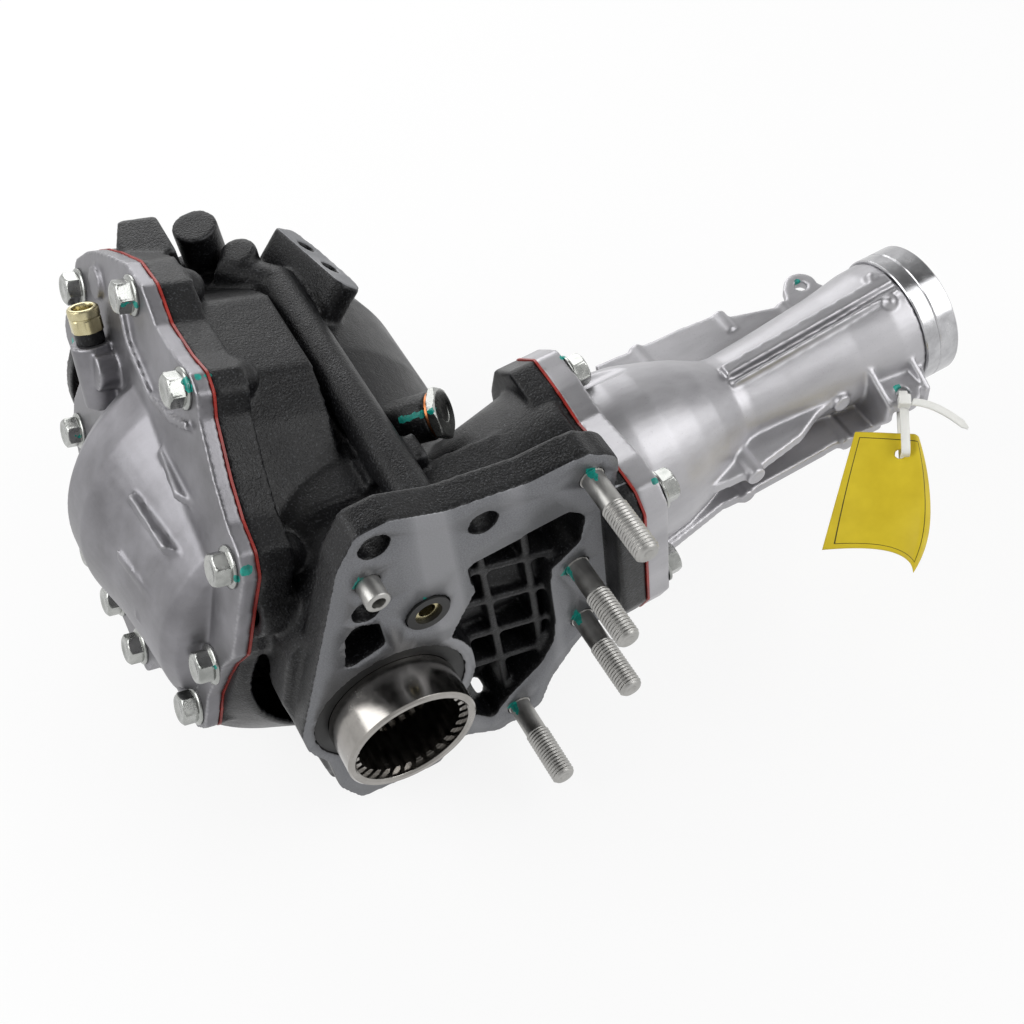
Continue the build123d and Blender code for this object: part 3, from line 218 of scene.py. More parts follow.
def castPaint():
    # black paint on sand-cast iron: satin, with the casting's grain showing through, and light flecks painted
    # on as glints of the grain
    material, tree, principled = newMaterial("blackCastPaint", {"Specular IOR Level": 0.28})
    grain = noiseAt(tree, 1.1, 3.0, 0.6)
    # light flecks of #4a4c4f scattered by noise: painted glints, the highlights that the cast grain catches
    paintedGlints = noiseAt(tree, 0.9, 1.0, 0.5)
    patches = noiseAt(tree, 26.0, 3.0)
    paint = blendColours(tree, spread(tree, patches, 0, 1), "#060607", "#101012")
    paint = blendColours(tree, spread(tree, paintedGlints, 0, 0.6, 0.58, 0.76), paint, "#4a4c4f")
    paint = blendColours(tree, alongEdges(tree, 0.55, 0.55, 0.6), paint, "#6d6e71")
    marks = noiseAt(tree, 0.8, 3.0, 0.6)
    metal = blendColours(tree, spread(tree, marks, 0, 1), "#66676a", "#838487")
    bands = spread(tree, noiseAt(tree, 24.0, 1.0, 0.5, (1, 1, 0.07)), 0, 0.45, 0.56, 0.66)
    metal = blendColours(tree, bands, metal, "#a3a3a6")
    cut = mathNode(tree, "MAXIMUM", *(onCutFace(tree, facts) for facts in cutFaces))
    withDabs(tree, principled, blendColours(tree, cut, paint, metal), mathNode(tree, "MULTIPLY", cut, 0.8))
    rough = blendValues(tree, cut, spread(tree, patches, 0.3, 0.44), spread(tree, marks, 0.4, 0.52))
    tree.links.new(rough, principled.inputs["Roughness"])
    relief = mathNode(tree, "MULTIPLY_ADD", patches, 1.5, mathNode(tree, "MULTIPLY", grain, 0.8))
    relief = blendValues(tree, cut, relief, mathNode(tree, "MULTIPLY", marks, 0.12))
    tree.links.new(bumped(tree, relief, 0.5, 0.85), principled.inputs["Normal"])
    return material


def dieCastAluminium(name, dark, light, grainSize=0.9):
    # die-cast aluminium: bright satin skin with fine pitting darkened by painted shade, and faint flow marks
    material, tree, principled = newMaterial(name, {"Metallic": 0.9})
    grain = noiseAt(tree, grainSize, 4.0, 0.7)
    flow = noiseAt(tree, 30.0, 4.0, 0.6, (0.35, 1, 1))
    colour = blendColours(tree, spread(tree, flow, 0, 1), dark, light)
    colour = blendColours(tree, alongEdges(tree, 0.6, 0.54, 0.6), colour, "#dcdbde")
    # dark flecks of #4c4c4e scattered by noise as pitting: the pitting is the casting's, its darkness is
    # painted shade of the hollows
    shadedPits = spread(tree, grain, 0.0, 0.35, 0.6, 0.75)
    withDabs(tree, principled, blendColours(tree, shadedPits, colour, "#4c4c4e"), 0.9)
    tree.links.new(spread(tree, flow, 0.36, 0.5), principled.inputs["Roughness"])
    relief = mathNode(tree, "MULTIPLY_ADD", flow, 2.0, mathNode(tree, "MULTIPLY", grain, 0.5))
    tree.links.new(bumped(tree, relief, 0.22, 0.5), principled.inputs["Normal"])
    return material


def cutSteel(name, dark, light, roughness, grainSize=0.5, stretch=(1, 1, 1), marked=False, depth=0.06):
    # machined or plated steel: fine tool marks and slight staining
    material, tree, principled = newMaterial(name, {"Metallic": 1.0})
    marks = noiseAt(tree, grainSize, 2.0, 0.5, stretch)
    stains = noiseAt(tree, 9.0, 3.0, 0.6)
    colour = blendColours(tree, spread(tree, stains, 0, 1), dark, light)
    if marked:
        withDabs(tree, principled, colour, 1.0)
    else:
        tree.links.new(colour, principled.inputs["Base Color"])
    tree.links.new(spread(tree, stains, roughness - 0.06, roughness + 0.08), principled.inputs["Roughness"])
    tree.links.new(bumped(tree, marks, depth, 0.5, roundedNormal(tree, 0.35)), principled.inputs["Normal"])
    return material


def moulded(name, dark, light, roughness, grainSize=1.0, relief=0.1):
    # rubber, nylon, sealant or card: not metal, a little uneven
    material, tree, principled = newMaterial(name, {})
    grain = noiseAt(tree, grainSize, 3.0)
    shade = noiseAt(tree, 14.0, 3.0)
    tree.links.new(blendColours(tree, spread(tree, shade, 0, 1), dark, light), principled.inputs["Base Color"])
    tree.links.new(spread(tree, shade, roughness - 0.06, roughness + 0.06), principled.inputs["Roughness"])
    tree.links.new(bumped(tree, grain, relief, 0.5), principled.inputs["Normal"])
    return material


tagFacts = {
    # corners, middles of the edges and middle of the sheet in mm, from the hole's end down, left to right
    "sheet": [
        [(261.1, 0.7, 16.9), (276.4, -10.0, 16.9), (285.8, -18.3, 17.7)],
        [(234.7, -21.7, 12.2), (253.3, -37.0, 11.9), (263.1, -56.7, 15.4)],
        [(210.4, -42.5, 7.8), (235.4, -59.3, 7.8), (238.7, -75.8, 10.2)],
    ],
    "name": "blankTag", "span": (0.042, 0.066), "steps": 110, "thickness": 0.0004,
    "hole": (0.2719, -0.0217), "holeRadius": 0.0027, "drawnIn": 0.0004,
    "wave": 0.0006, "wavesDown": 9, "wavesAcross": 4, "curl": 0.11, "curlFrom": 0.86,
    "borderInset": 0.0030, "borderHalf": 0.00022,
}


def printedCard():
    # yellow coated card: a thin dark border line set in from the edge, by the sheet's own coordinates
    material, tree, principled = newMaterial("yellowCard", {"Roughness": 0.42, "Specular IOR Level": 0.4})
    shade = noiseAt(tree, 16.0, 3.0)
    card = blendColours(tree, spread(tree, shade, 0, 1), "#c3ab1c", "#d2bb27")
    layer = addNode(tree, "ShaderNodeUVMap", {"uv_map": "sheet"})
    parts = addNode(tree, "ShaderNodeSeparateXYZ", links={0: layer.outputs[0]})
    edges = []
    for part, length in zip((parts.outputs["X"], parts.outputs["Y"]), tagFacts["span"]):
        edges.append(mathNode(tree, "MULTIPLY", part, length))
        edges.append(mathNode(tree, "MULTIPLY", mathNode(tree, "SUBTRACT", 1.0, part), length))
    pairs = (mathNode(tree, "MINIMUM", *edges[:2]), mathNode(tree, "MINIMUM", *edges[2:]))
    nearest = mathNode(tree, "MINIMUM", *pairs)
    line = mathNode(tree, "COMPARE", nearest, tagFacts["borderInset"], tagFacts["borderHalf"])
    tree.links.new(blendColours(tree, line, card, "#4a4414"), principled.inputs["Base Color"])
    tree.links.new(bumped(tree, shade, 0.4, 0.4), principled.inputs["Normal"])
    return material


finishes = {
    "case_black": castPaint(),
    "cover_cast": dieCastAluminium("coverAluminium", "#6c6b6e", "#8e8d91"),
    "extension_cast": dieCastAluminium("extensionAluminium", "#98979a", "#b8b7ba"),
    "turned_ring": cutSteel("turnedSteel", "#a4a4a6", "#c0c0c2", 0.2, 0.4, (1, 0.05, 0.05), depth=0.03),
    "bronze_bush": cutSteel("bronzeBush", "#8a6a3c", "#a8844e", 0.3),
    "seal_rubber": moulded("nitrileRubber", "#141414", "#1d1d1d", 0.55),
    "machined_steel": cutSteel("machinedSteel", "#918e8a", "#a19e9a", 0.2, 0.5, (0.1, 1, 0.1), depth=0.015),
    "carrier_iron": cutSteel("turnedIron", "#5a5a5a", "#707070", 0.45),
    "gear_steel": cutSteel("gearSteel", "#6e6e6e", "#858585", 0.3),
    "spacer_steel": cutSteel("spacerSteel", "#8a8a8a", "#9c9c9c", 0.35),
    "drum_steel": cutSteel("drumSteel", "#7a7a7a", "#8c8c8c", 0.35),
    "plate_steel": cutSteel("plateSteel", "#858585", "#989898", 0.35),
    "zinc_steel": cutSteel("zincPlate", "#8d8f8c", "#b6b7b4", 0.24, 0.8, marked=True),
    "stud_steel": cutSteel("rolledSteel", "#9b9a97", "#b5b4b1", 0.4, 0.8, marked=True),
    "black_steel": cutSteel("blackOxide", "#1e1e1f", "#2b2b2c", 0.4),
    "bearing_steel": cutSteel("groundSteel", "#b5b5b6", "#cccccd", 0.18),
    "red_sealant": moulded("redSealant", "#7a1a14", "#a32c20", 0.4, 2.0, 0.3),
    "gold_zinc": cutSteel("yellowPassivate", "#ada27c", "#cfc7a2", 0.24, 1.2, depth=0.02),
    "copper_washer": cutSteel("copper", "#a5663f", "#bd7d55", 0.35),
    "white_nylon": moulded("whiteNylon", "#d9d9d4", "#e8e8e4", 0.4),
    "yellow_card": printedCard(),
}
slotOf = {part["node"]: part["material_slot"] for part in frame["record"]["subparts"]}
for nodeName, slot in slotOf.items():
    nodes[nodeName].data.materials.clear()
    nodes[nodeName].data.materials.append(finishes[slot])
print("materials set:", len(finishes))
dressed = []  # the pieces that stand in for CAD nodes


def linked(name, mesh):
    piece = bpy.data.objects.new(name, mesh)
    bpy.context.scene.collection.objects.link(piece)
    return piece


def settle(piece):
    # turns the piece's modifiers into its mesh
    graph = bpy.context.evaluated_depsgraph_get()
    mesh = bpy.data.meshes.new_from_object(piece.evaluated_get(graph))
    piece.modifiers.clear()
    old = piece.data
    piece.data = mesh
    bpy.data.meshes.remove(old)


# shares of the way to the neighbours' mean, there and back: one pair rounds edges, the other only evens
roundingShares = {"soften": (0.6, -0.35), "even": (0.6, -0.62)}
planeReach = 0.0006


def softened(places, ends, planes, rounds):
    # each point moves towards the mean of its neighbours and part of the way back, which rounds edges
    # and keeps the size; points on a machined plane stay in that plane
    first, second = ends
    count = len(places)
    neighbours = np.bincount(np.concatenate((first, second)), minlength=count)[:, None]
    held = []
    for point, normal in planes:
        normal = np.array(normal, float)
        height = (places - np.array(point)) @ normal
        near = np.abs(height) < planeReach
        places[near] -= height[near, None] * normal
        held.append((near, normal))
    for share in roundingShares["soften"] * rounds + roundingShares["even"] * rounds:
        total = np.stack([
            np.bincount(first, places[second, k], count) + np.bincount(second, places[first, k], count)
            for k in range(3)
        ], 1)
        move = share * (total / neighbours - places)
        for near, normal in held:
            move[near] -= (move[near] @ normal)[:, None] * normal
        places = places + move
    return places


castings = {
    "main_case": {"name": "caseCasting", "voxel": 0.0013, "rounds": 4, "planes": [((0, 0, 0), (0, -1, 0))]},
    "side_cover": {"name": "coverCasting", "voxel": 0.0010, "rounds": 4, "planes": []},
    "extension": {"name": "extensionCasting", "voxel": 0.0009, "rounds": 4, "planes": []},
    "side_retainer": {"name": "retainerCasting", "voxel": 0.0010, "rounds": 2, "planes": []},
}
mostTriangles = 190000
creaseAngle = math.radians(28)


def merged(mesh, distance=0.00001, outwards=False):
    # points nearer than distance made one, and every face turned outwards if asked
    work = bmesh.new()
    work.from_mesh(mesh)
    bmesh.ops.remove_doubles(work, verts=work.verts, dist=distance)
    if outwards:
        bmesh.ops.recalc_face_normals(work, faces=work.faces)
    work.to_mesh(mesh)
    work.free()
    return mesh


def pointsAndEnds(mesh):
    # the mesh's points, and the numbers of the two points at the ends of each edge
    places = np.empty(len(mesh.vertices) * 3)
    mesh.vertices.foreach_get("co", places)
    ends = np.empty(len(mesh.edges) * 2, dtype=np.int32)
    mesh.edges.foreach_get("vertices", ends)
    return places.reshape(-1, 3), ends.reshape(-1, 2).T


def standIn(piece, nodeName):
    # the piece takes the node's place on the case and its finish
    slot = slotOf[nodeName]
    piece.data.materials.clear()
    piece.data.materials.append(finishes[slot])
    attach(piece, "case")
    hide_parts(nodeName)
    dressed.append(piece)


def makeCasting(nodeName, facts):
    # the CAD node's own surface cut into even cells, with its edges and inner corners rounded as cast
    piece = linked(facts["name"], merged(nodes[nodeName].data.copy()))
    cells = piece.modifiers.new("cells", "REMESH")
    cells.mode = "VOXEL"
    cells.voxel_size = facts["voxel"]
    settle(piece)
    mesh = piece.data
    places, ends = pointsAndEnds(mesh)
    places = softened(places, ends, facts["planes"], facts["rounds"])
    mesh.vertices.foreach_set("co", places.ravel())
    mesh.update()
    triangles = sum(len(face.vertices) - 2 for face in mesh.polygons)
    if triangles > mostTriangles:
        fewer = piece.modifiers.new("fewer", "DECIMATE")
        fewer.ratio = mostTriangles / triangles
        settle(piece)
    piece.data.shade_smooth()
    skin = piece.data.attributes.new("castSkin", "FLOAT", "POINT")
    skin.data.foreach_set("value", np.ones(len(piece.data.vertices)))
    standIn(piece, nodeName)
    print(facts["name"], triangles, "triangles before thinning")


for nodeName, facts in castings.items():
    makeCasting(nodeName, facts)
print("castings made")


def solidsOf(nodeName):
    # the points of each separate solid of a node: every point takes the lowest number along its edges
    mesh = merged(nodes[nodeName].data.copy())
    places, (first, second) = pointsAndEnds(mesh)
    bpy.data.meshes.remove(mesh)
    labels = np.arange(len(places))
    while True:
        lowest = np.minimum(labels[first], labels[second])
        fresh = labels.copy()
        np.minimum.at(fresh, first, lowest)
        np.minimum.at(fresh, second, lowest)
        fresh = fresh[fresh]
        if (fresh == labels).all():
            return [places[labels == label] for label in np.unique(labels)]
        labels = fresh


def gridPiece(name, grids, wrapRows=False, wrapColumns=True):
    # one mesh of several grids of points, rows x columns x 3, each closed round its rows or columns if asked
    points, faces, start = [], [], 0
    for grid in grids:
        rows, columns = grid.shape[:2]
        numbers = np.arange(rows * columns).reshape(rows, columns) + start
        below = np.roll(numbers, -1, 0) if wrapRows else numbers[1:]
        here = numbers if wrapRows else numbers[:-1]
        if wrapColumns:
            sides = (here, below, np.roll(below, -1, 1), np.roll(here, -1, 1))
        else:
            sides = (here[:, :-1], below[:, :-1], below[:, 1:], here[:, 1:])
        faces.append(np.stack(sides, -1).reshape(-1, 4))
        points.append(grid.reshape(-1, 3))
        start += rows * columns
    mesh = bpy.data.meshes.new(name)
    mesh.from_pydata(np.concatenate(points).tolist(), [], np.concatenate(faces).tolist())
    return linked(name, mesh)


def finished(piece, nodeName, creased=True):
    # poles closed, faces turned outwards, and smooth shading with sharp edges kept where asked
    merged(piece.data, 0.000002, True)
    piece.data.shade_smooth()
    if creased:
        piece.data.set_sharp_from_angle(angle=creaseAngle)
    standIn(piece, nodeName)


def turnAxes(axis):
    # the axis at length 1, and two directions square to it and to each other
    axis = np.array(axis, float) / np.linalg.norm(axis)
    side = np.cross(axis, (0, 0, 1) if abs(axis[2]) < 0.9 else (1, 0, 0))
    side /= np.linalg.norm(side)
    return axis, side, np.cross(axis, side)


def hexRadius(flats, angles):
    # distance from the middle of a hexagon to its side, at each angle
    return flats / 2 / np.cos(angles % (np.pi / 3) - np.pi / 6)


flangeBolt = {"flats": 0.014, "head": 0.007, "washerRadius": 0.0096, "washer": 0.0016, "shankRadius": 0.0039}
hexPieces = {
    "cover_bolts": {"name": "coverBolts", "axis": coverNormal, **flangeBolt},
    "joint_bolts": {"name": "jointBolts", "axis": (1, 0, 0), **flangeBolt},
    "retainer_bolts": {"name": "retainerBolts", "axis": (0, 1, 0), **flangeBolt},
}
hexSteps = 96
samePlane = 0.00002
chances = np.random.default_rng(7)


def hexStations(facts):
    # height over the seat and radius, from the dished top's middle outwards: the circles that limit the
    # hexagon, and then the round flange
    top = facts["head"] + facts["washer"]
    flat = facts["flats"] / 2
    washer, rim = facts["washer"], facts["washerRadius"]
    return [
        (top - 0.0005, 0), (top - 0.0005, 0.55 * flat), (top - 0.0001, 0.68 * flat), (top, 0.74 * flat),
        (top, 0.9 * flat), (top - 0.0001, 0.95 * flat), (top - 0.0005, 1.03 * flat),
        (top - 0.0009, 1.10 * flat), (top - 0.0013, 1.2 * flat), (washer + 0.0009, 1.2 * flat),
        (washer + 0.0004, 1.22 * flat),
    ], [
        (washer + 0.0001, rim - 0.0009), (washer - 0.0002, rim - 0.0003), (washer - 0.0006, rim),
        (0.0003, rim), (0, rim - 0.0002), (0, facts["shankRadius"]),
    ]


def makeHexPiece(nodeName, facts):
    # radius = the smaller of the station's circle and the hexagon, which leaves a real head's curved corners
    axis, across, up = turnAxes(facts["axis"])
    angles = np.linspace(0, 2 * np.pi, hexSteps, endpoint=False)
    hexagon = hexRadius(facts["flats"], angles + np.pi / 6)
    hexPart, roundPart = hexStations(facts)
    grids = []
    for points in solidsOf(nodeName):
        heights = points @ axis
        topFace = points[heights > heights.max() - samePlane]
        seat = topFace.mean(0) - (facts["head"] + facts["washer"]) * axis
        foot = heights.min() - seat @ axis
        turn = chances.uniform(0, np.pi / 3)
        rows = [(height, np.minimum(radius, hexagon)) for height, radius in hexPart]
        rows += [(height, np.full(hexSteps, radius)) for height, radius in roundPart]
        rows += [(foot, np.full(hexSteps, facts["shankRadius"])), (foot, np.zeros(hexSteps))]
        height = np.array([row[0] for row in rows])[:, None, None]
        radius = np.stack([row[1] for row in rows])[..., None]
        grids.append(
            seat + height * axis + radius * np.cos(angles + turn)[None, :, None] * across
            + radius * np.sin(angles + turn)[None, :, None] * up
        )
    finished(gridPiece(facts["name"], grids), nodeName)


studFacts = {
    "name": "threadedStuds", "root": -0.0135, "shankDrop": 0.0006, "shankEnd": 0.0178, "threadStart": 0.018,
    "pitch": 0.00175, "threadDepth": 0.00062, "crestSlope": 2.6, "rootWidth": 0.15, "tip": 0.0014,
    "tipDrop": 0.0013, "steps": 48, "rowsPerTurn": 8,
    # centre mark in the end: radius as a share of the stud's, and depth
    "mark": [(0.45, 0), (0.36, 0.0003), (0.2, 0.0009), (0, 0.001)],
}


def makeStuds(facts):
    # thread: the radius falls and rises once per pitch, and its phase turns with the angle
    angles = np.linspace(0, 2 * np.pi, facts["steps"], endpoint=False)
    markRadii, markDepths = np.array(facts["mark"]).T[..., None]
    grids = []
    for points in solidsOf("studs"):
        end = -points[:, 1].min()
        middle = points[points[:, 1] < -end + samePlane].mean(0)
        full = np.hypot(points[:, 0] - middle[0], points[:, 2] - middle[2]).max()
        shank = full - facts["shankDrop"]
        threadRows = int((end - facts["threadStart"]) / facts["pitch"] * facts["rowsPerTurn"])
        plain = [(facts["root"], 0), (facts["root"], full), (0, full), (0, shank), (facts["shankEnd"], shank)]
        heights, radii = np.array(plain).T
        thread = np.linspace(facts["threadStart"], end, threadRows)
        out = np.concatenate((heights, thread, [end] * len(markRadii)))[:, None]
        phase = (out / facts["pitch"] - angles / (2 * np.pi)) % 1
        crest = np.clip(np.abs(phase - 0.5) * facts["crestSlope"] - facts["rootWidth"], 0, 1)
        radius = full - facts["threadDepth"] * (1 - crest)
        tip = np.clip((out - (end - facts["tip"])) / facts["tip"], 0, 1)
        radius = np.minimum(radius, full - facts["tipDrop"] * tip)
        radius[:len(plain)] = radii[:, None]
        radius[len(plain)] = shank
        radius[-len(markRadii):] = markRadii * full
        out[-len(markRadii):] = end - markDepths
        grids.append(np.stack((
            middle[0] + radius * np.cos(angles), -out + 0 * radius, middle[2] + radius * np.sin(angles),
        ), -1))
    finished(gridPiece(facts["name"], grids), "studs")


turnedFacts = {
    # profile rows: height along the axis and radius in mm; flats limits the radius to a hexagon between the
    # heights start and stop
    "level_plug": {
        "name": "levelPlug", "place": (0.0755, 0.0825, 0.0728), "axis": (0.83, -0.46, 0.30),
        "flats": 0.023, "start": 1.3, "stop": 10,
        "rows": [
            (-10, 0), (-10, 7.3), (-9.4, 8), (1.2, 8), (1.2, 11.2), (1.4, 11.6), (1.8, 12.6), (2.2, 14),
            (4.6, 14), (4.9, 12.9), (5.2, 12.1), (5.5, 11.5), (5.65, 11.2), (5.7, 10.8), (5.7, 4.8),
            (5.5, 4.5), (5.4, 4.2), (5.4, 0),
        ],
    },
    "filler_plug": {
        "name": "fillerPlug", "place": (-0.0458, 0.1999, 0.0884), "axis": (0.193, 0.394, 0.899),
        "flats": 0.0142, "start": 6.05, "stop": 12.6,
        "rows": [
            (-12, 0), (-12, 4.6), (-11.5, 5), (6, 5), (6, 6.6), (6.2, 7.5), (12.4, 7.5), (12.8, 7.1),
            (13.2, 7.1), (13.6, 7.5), (16.6, 7.5), (17.3, 7.3), (17.8, 6.8), (18, 6.2), (18, 5.6), (17.8, 5.1),
            (17.2, 4.8), (13.4, 4.7), (13, 4.4), (13, 3), (13.6, 2.7), (14.2, 2.2), (14.4, 1.6), (14.4, 0),
        ],
    },
    "dowel": {
        "name": "dowelPin", "place": (0.0069, 0, 0.0972), "axis": (0, -1, 0), "ring": True,
        "rows": [
            (-10, 3), (-10, 5.2), (-9.7, 5.5), (9.9, 5.5), (10.2, 5.4), (10.5, 5.1), (10.7, 4.7), (10.7, 3.4),
            (10.6, 3.1), (10.3, 3),
        ],
    },
}


def makeTurned(nodeName, facts):
    # profile carried round the axis; the radius is the smaller of the profile's and the hexagon's
    axis, across, up = turnAxes(facts["axis"])
    angles = np.linspace(0, 2 * np.pi, hexSteps, endpoint=False)
    height, radius = (np.array(facts["rows"], float)[:, k, None] / 1000 for k in (0, 1))
    radius = np.broadcast_to(radius, (len(radius), hexSteps)).copy()
    if "flats" in facts:
        wrench = (height[:, 0] > facts["start"] / 1000) & (height[:, 0] < facts["stop"] / 1000)
        radius[wrench] = np.minimum(radius[wrench], hexRadius(facts["flats"], angles))
    grid = (
        np.array(facts["place"]) + height[..., None] * axis
        + (radius * np.cos(angles))[..., None] * across + (radius * np.sin(angles))[..., None] * up
    )
    finished(gridPiece(facts["name"], [grid], wrapRows=facts.get("ring", False)), nodeName)


def quadratic(t):
    # weights of three points at 0, 1/2 and 1 for a curve through all of them
    return np.stack((2 * (t - 0.5) * (t - 1), 4 * t * (1 - t), 2 * t * (t - 0.5)), -1)


def makeTag(facts):
    # sheet through nine points, with small waves; the ring of points nearest the hole is drawn onto its edge
    t = np.linspace(0, 1, facts["steps"])
    weights = quadratic(t)
    corners = np.array(facts["sheet"]) / 1000
    grid = np.einsum("ai,bj,ijk->abk", weights, weights, corners)
    downward, rightward = np.meshgrid(t, t, indexing="ij")
    wave = facts["wave"] * np.sin(facts["wavesDown"] * downward + facts["wavesAcross"] * rightward) * rightward
    grid[..., 2] -= wave + facts["curl"] * np.clip(rightward - facts["curlFrom"], 0, 1) ** 2
    hole, radius = np.array(facts["hole"]), facts["holeRadius"]
    away = grid[..., :2] - hole
    reach = np.linalg.norm(away, axis=-1)
    near = np.abs(reach - radius) < facts["drawnIn"]
    grid[near, :2] = hole + away[near] / reach[near, None] * radius
    piece = gridPiece(facts["name"], [grid], wrapColumns=False)
    mesh = piece.data
    layer = mesh.uv_layers.new(name="sheet")
    vertexOf = np.empty(len(mesh.loops), dtype=np.int32)
    mesh.loops.foreach_get("vertex_index", vertexOf)
    flat = np.stack((rightward, downward), -1).reshape(-1, 2)
    layer.data.foreach_set("uv", flat[vertexOf].ravel())
    work = bmesh.new()
    work.from_mesh(mesh)
    middle = Vector(hole)
    inside = [face for face in work.faces if (face.calc_center_median().xy - middle).length < radius * 0.98]
    bmesh.ops.delete(work, geom=inside, context="FACES")
    work.to_mesh(mesh)
    work.free()
    wall = piece.modifiers.new("wall", "SOLIDIFY")
    wall.thickness = facts["thickness"]
    wall.offset = 0
    settle(piece)
    piece.data.shade_smooth()
    standIn(piece, "tag")


tieFacts = {
    "ear": (0.293, 0.005, 0.020), "run": (-0.020, -0.029, -0.005), "height": 0.0108, "width": 0.0044,
    "thick": 0.0012, "loopPower": 1 / 3, "loopSteps": 200, "tailSteps": 60, "narrowing": 8, "tipShare": 0.35,
    "head": (0.008, -0.0074), "headSize": 0.0031, "headPower": 0.3,
    "tail": [(0.2905, -0.0055, 0.0272), (0.2975, -0.0165, 0.0285), (0.3067, -0.0296, 0.0205)],
}


# a flat section with cut corners, as shares of half the width and half the thickness
strapSection = np.array([
    (1, 0.6), (0.85, 1), (-0.85, 1), (-1, 0.6), (-1, -0.6), (-0.85, -1), (0.85, -1), (1, -0.6),
])


def strap(path, widthWay, width, thick, closed, taper=1.0):
    # a flat band along a path: the section's points, scaled by the taper, at every point of the path
    along = np.roll(path, -1, 0) - np.roll(path, 1, 0) if closed else np.gradient(path, axis=0)
    along /= np.linalg.norm(along, axis=1)[:, None]
    across = np.broadcast_to(widthWay, path.shape)
    across = across - (across * along).sum(1)[:, None] * along
    across = across / np.linalg.norm(across, axis=1)[:, None]
    out = np.cross(along, across)
    half = np.broadcast_to(taper, len(path))[:, None, None] / 2
    return (
        path[:, None] + half * width * strapSection[None, :, :1] * across[:, None]
        + half * thick * strapSection[None, :, 1:] * out[:, None]
    )


def rootOf(waves, power):
    # each wave's size to a power under 1, with its sign kept, which squares up a circle
    return [np.sign(wave) * np.abs(wave) ** power for wave in waves]


def makeTie(facts):
    # the loop is a squared-up circle, the head a squared-up ball, and the tail a curve through three points
    run = np.array(facts["run"])
    length = np.linalg.norm(run)
    along = run / length
    side = np.array([-along[1], along[0], 0]) / np.hypot(along[0], along[1])
    rise = np.cross(side, along)
    ear = np.array(facts["ear"])
    angle = np.linspace(0, 2 * np.pi, facts["loopSteps"], endpoint=False)
    bend = rootOf((np.cos(angle), np.sin(angle)), facts["loopPower"])
    loop = ear + (length / 2 * (1 + bend[0]))[:, None] * along + (facts["height"] / 2 * bend[1])[:, None] * rise
    band = gridPiece("tieLoop", [strap(loop, side, facts["width"], facts["thick"], True)], wrapRows=True)
    # a row of no size closes each end of the tail
    t = np.concatenate(([-0.001], np.linspace(0, 1, facts["tailSteps"]), [1.001]))
    tailPath = quadratic(t) @ np.array(facts["tail"])
    level = np.cross(tailPath[-1] - tailPath[0], (0, 0, 1))
    level /= np.linalg.norm(level)
    taper = np.clip((1 - t) * facts["narrowing"] + facts["tipShare"], 0, 1)
    taper = np.where((t < 0) | (t > 1), 0, taper)
    tail = gridPiece("tieTail", [strap(tailPath, level, facts["width"], facts["thick"], False, taper)])
    tilts, turns = np.linspace(0, np.pi, 24), np.linspace(0, 2 * np.pi, 48, endpoint=False)
    tilt, turn = np.meshgrid(tilts, turns, indexing="ij")
    ball = rootOf((np.sin(tilt) * np.cos(turn), np.sin(tilt) * np.sin(turn), np.cos(tilt)), facts["headPower"])
    lump = sum(share[..., None] * way for share, way in zip(ball, (along, rise, side)))
    headAt = ear + facts["head"][0] * along + facts["head"][1] * rise
    head = gridPiece("tieHead", [headAt + facts["headSize"] * lump])
    for piece in (band, tail, head):
        finished(piece, "cable_tie", creased=False)


beadFacts = {"cover_sealant": "coverSealantBead", "joint_sealant": "jointSealantBead"}
beadSwell = 0.00045


def makeBead(nodeName, name):
    # the sealant stands a little out of the joint, where the faces pressed it out
    piece = linked(name, merged(nodes[nodeName].data.copy()))
    swell = piece.modifiers.new("swell", "DISPLACE")
    swell.strength = beadSwell
    swell.mid_level = 0
    settle(piece)
    piece.data.shade_smooth()
    piece.data.set_sharp_from_angle(angle=creaseAngle)
    standIn(piece, nodeName)


for nodeName, facts in hexPieces.items():
    makeHexPiece(nodeName, facts)
for nodeName, facts in turnedFacts.items():
    makeTurned(nodeName, facts)
makeStuds(studFacts)
makeTag(tagFacts)
makeTie(tieFacts)
for nodeName, name in beadFacts.items():
    makeBead(nodeName, name)
print("fasteners, tag, tie and beads made")

# places of the marking paint in the photograph, in pixels, each with the dab's radius in mm
dabPixels = [
    (125, 305, 2.2), (135, 305, 1.6), (73, 342, 2.2), (77, 338, 1.5), (185, 381, 2.0), (188, 388, 2.0),
    (198, 377, 1.6), (208, 374, 1.6), (76, 436, 2.2), (247, 570, 2.4), (243, 573, 1.6), (237, 579, 1.8),
    (204, 659, 2.0), (215, 668, 1.2), (401, 420, 1.8), (408, 418, 1.8), (415, 416, 1.8), (422, 414, 1.8),
    (430, 411, 1.8), (437, 409, 1.6), (351, 588, 2.0), (357, 584, 2.4), (364, 584, 2.4), (425, 599, 1.0),
    (417, 365, 1.8), (428, 365, 1.8), (566, 571, 3.4), (561, 580, 2.2), (577, 618, 2.8), (512, 705, 2.6),
    (563, 358, 1.6), (575, 356, 1.4), (590, 470, 2.6), (594, 476, 1.8), (655, 481, 1.8), (797, 282, 1.8),
    (897, 389, 2.2),
]


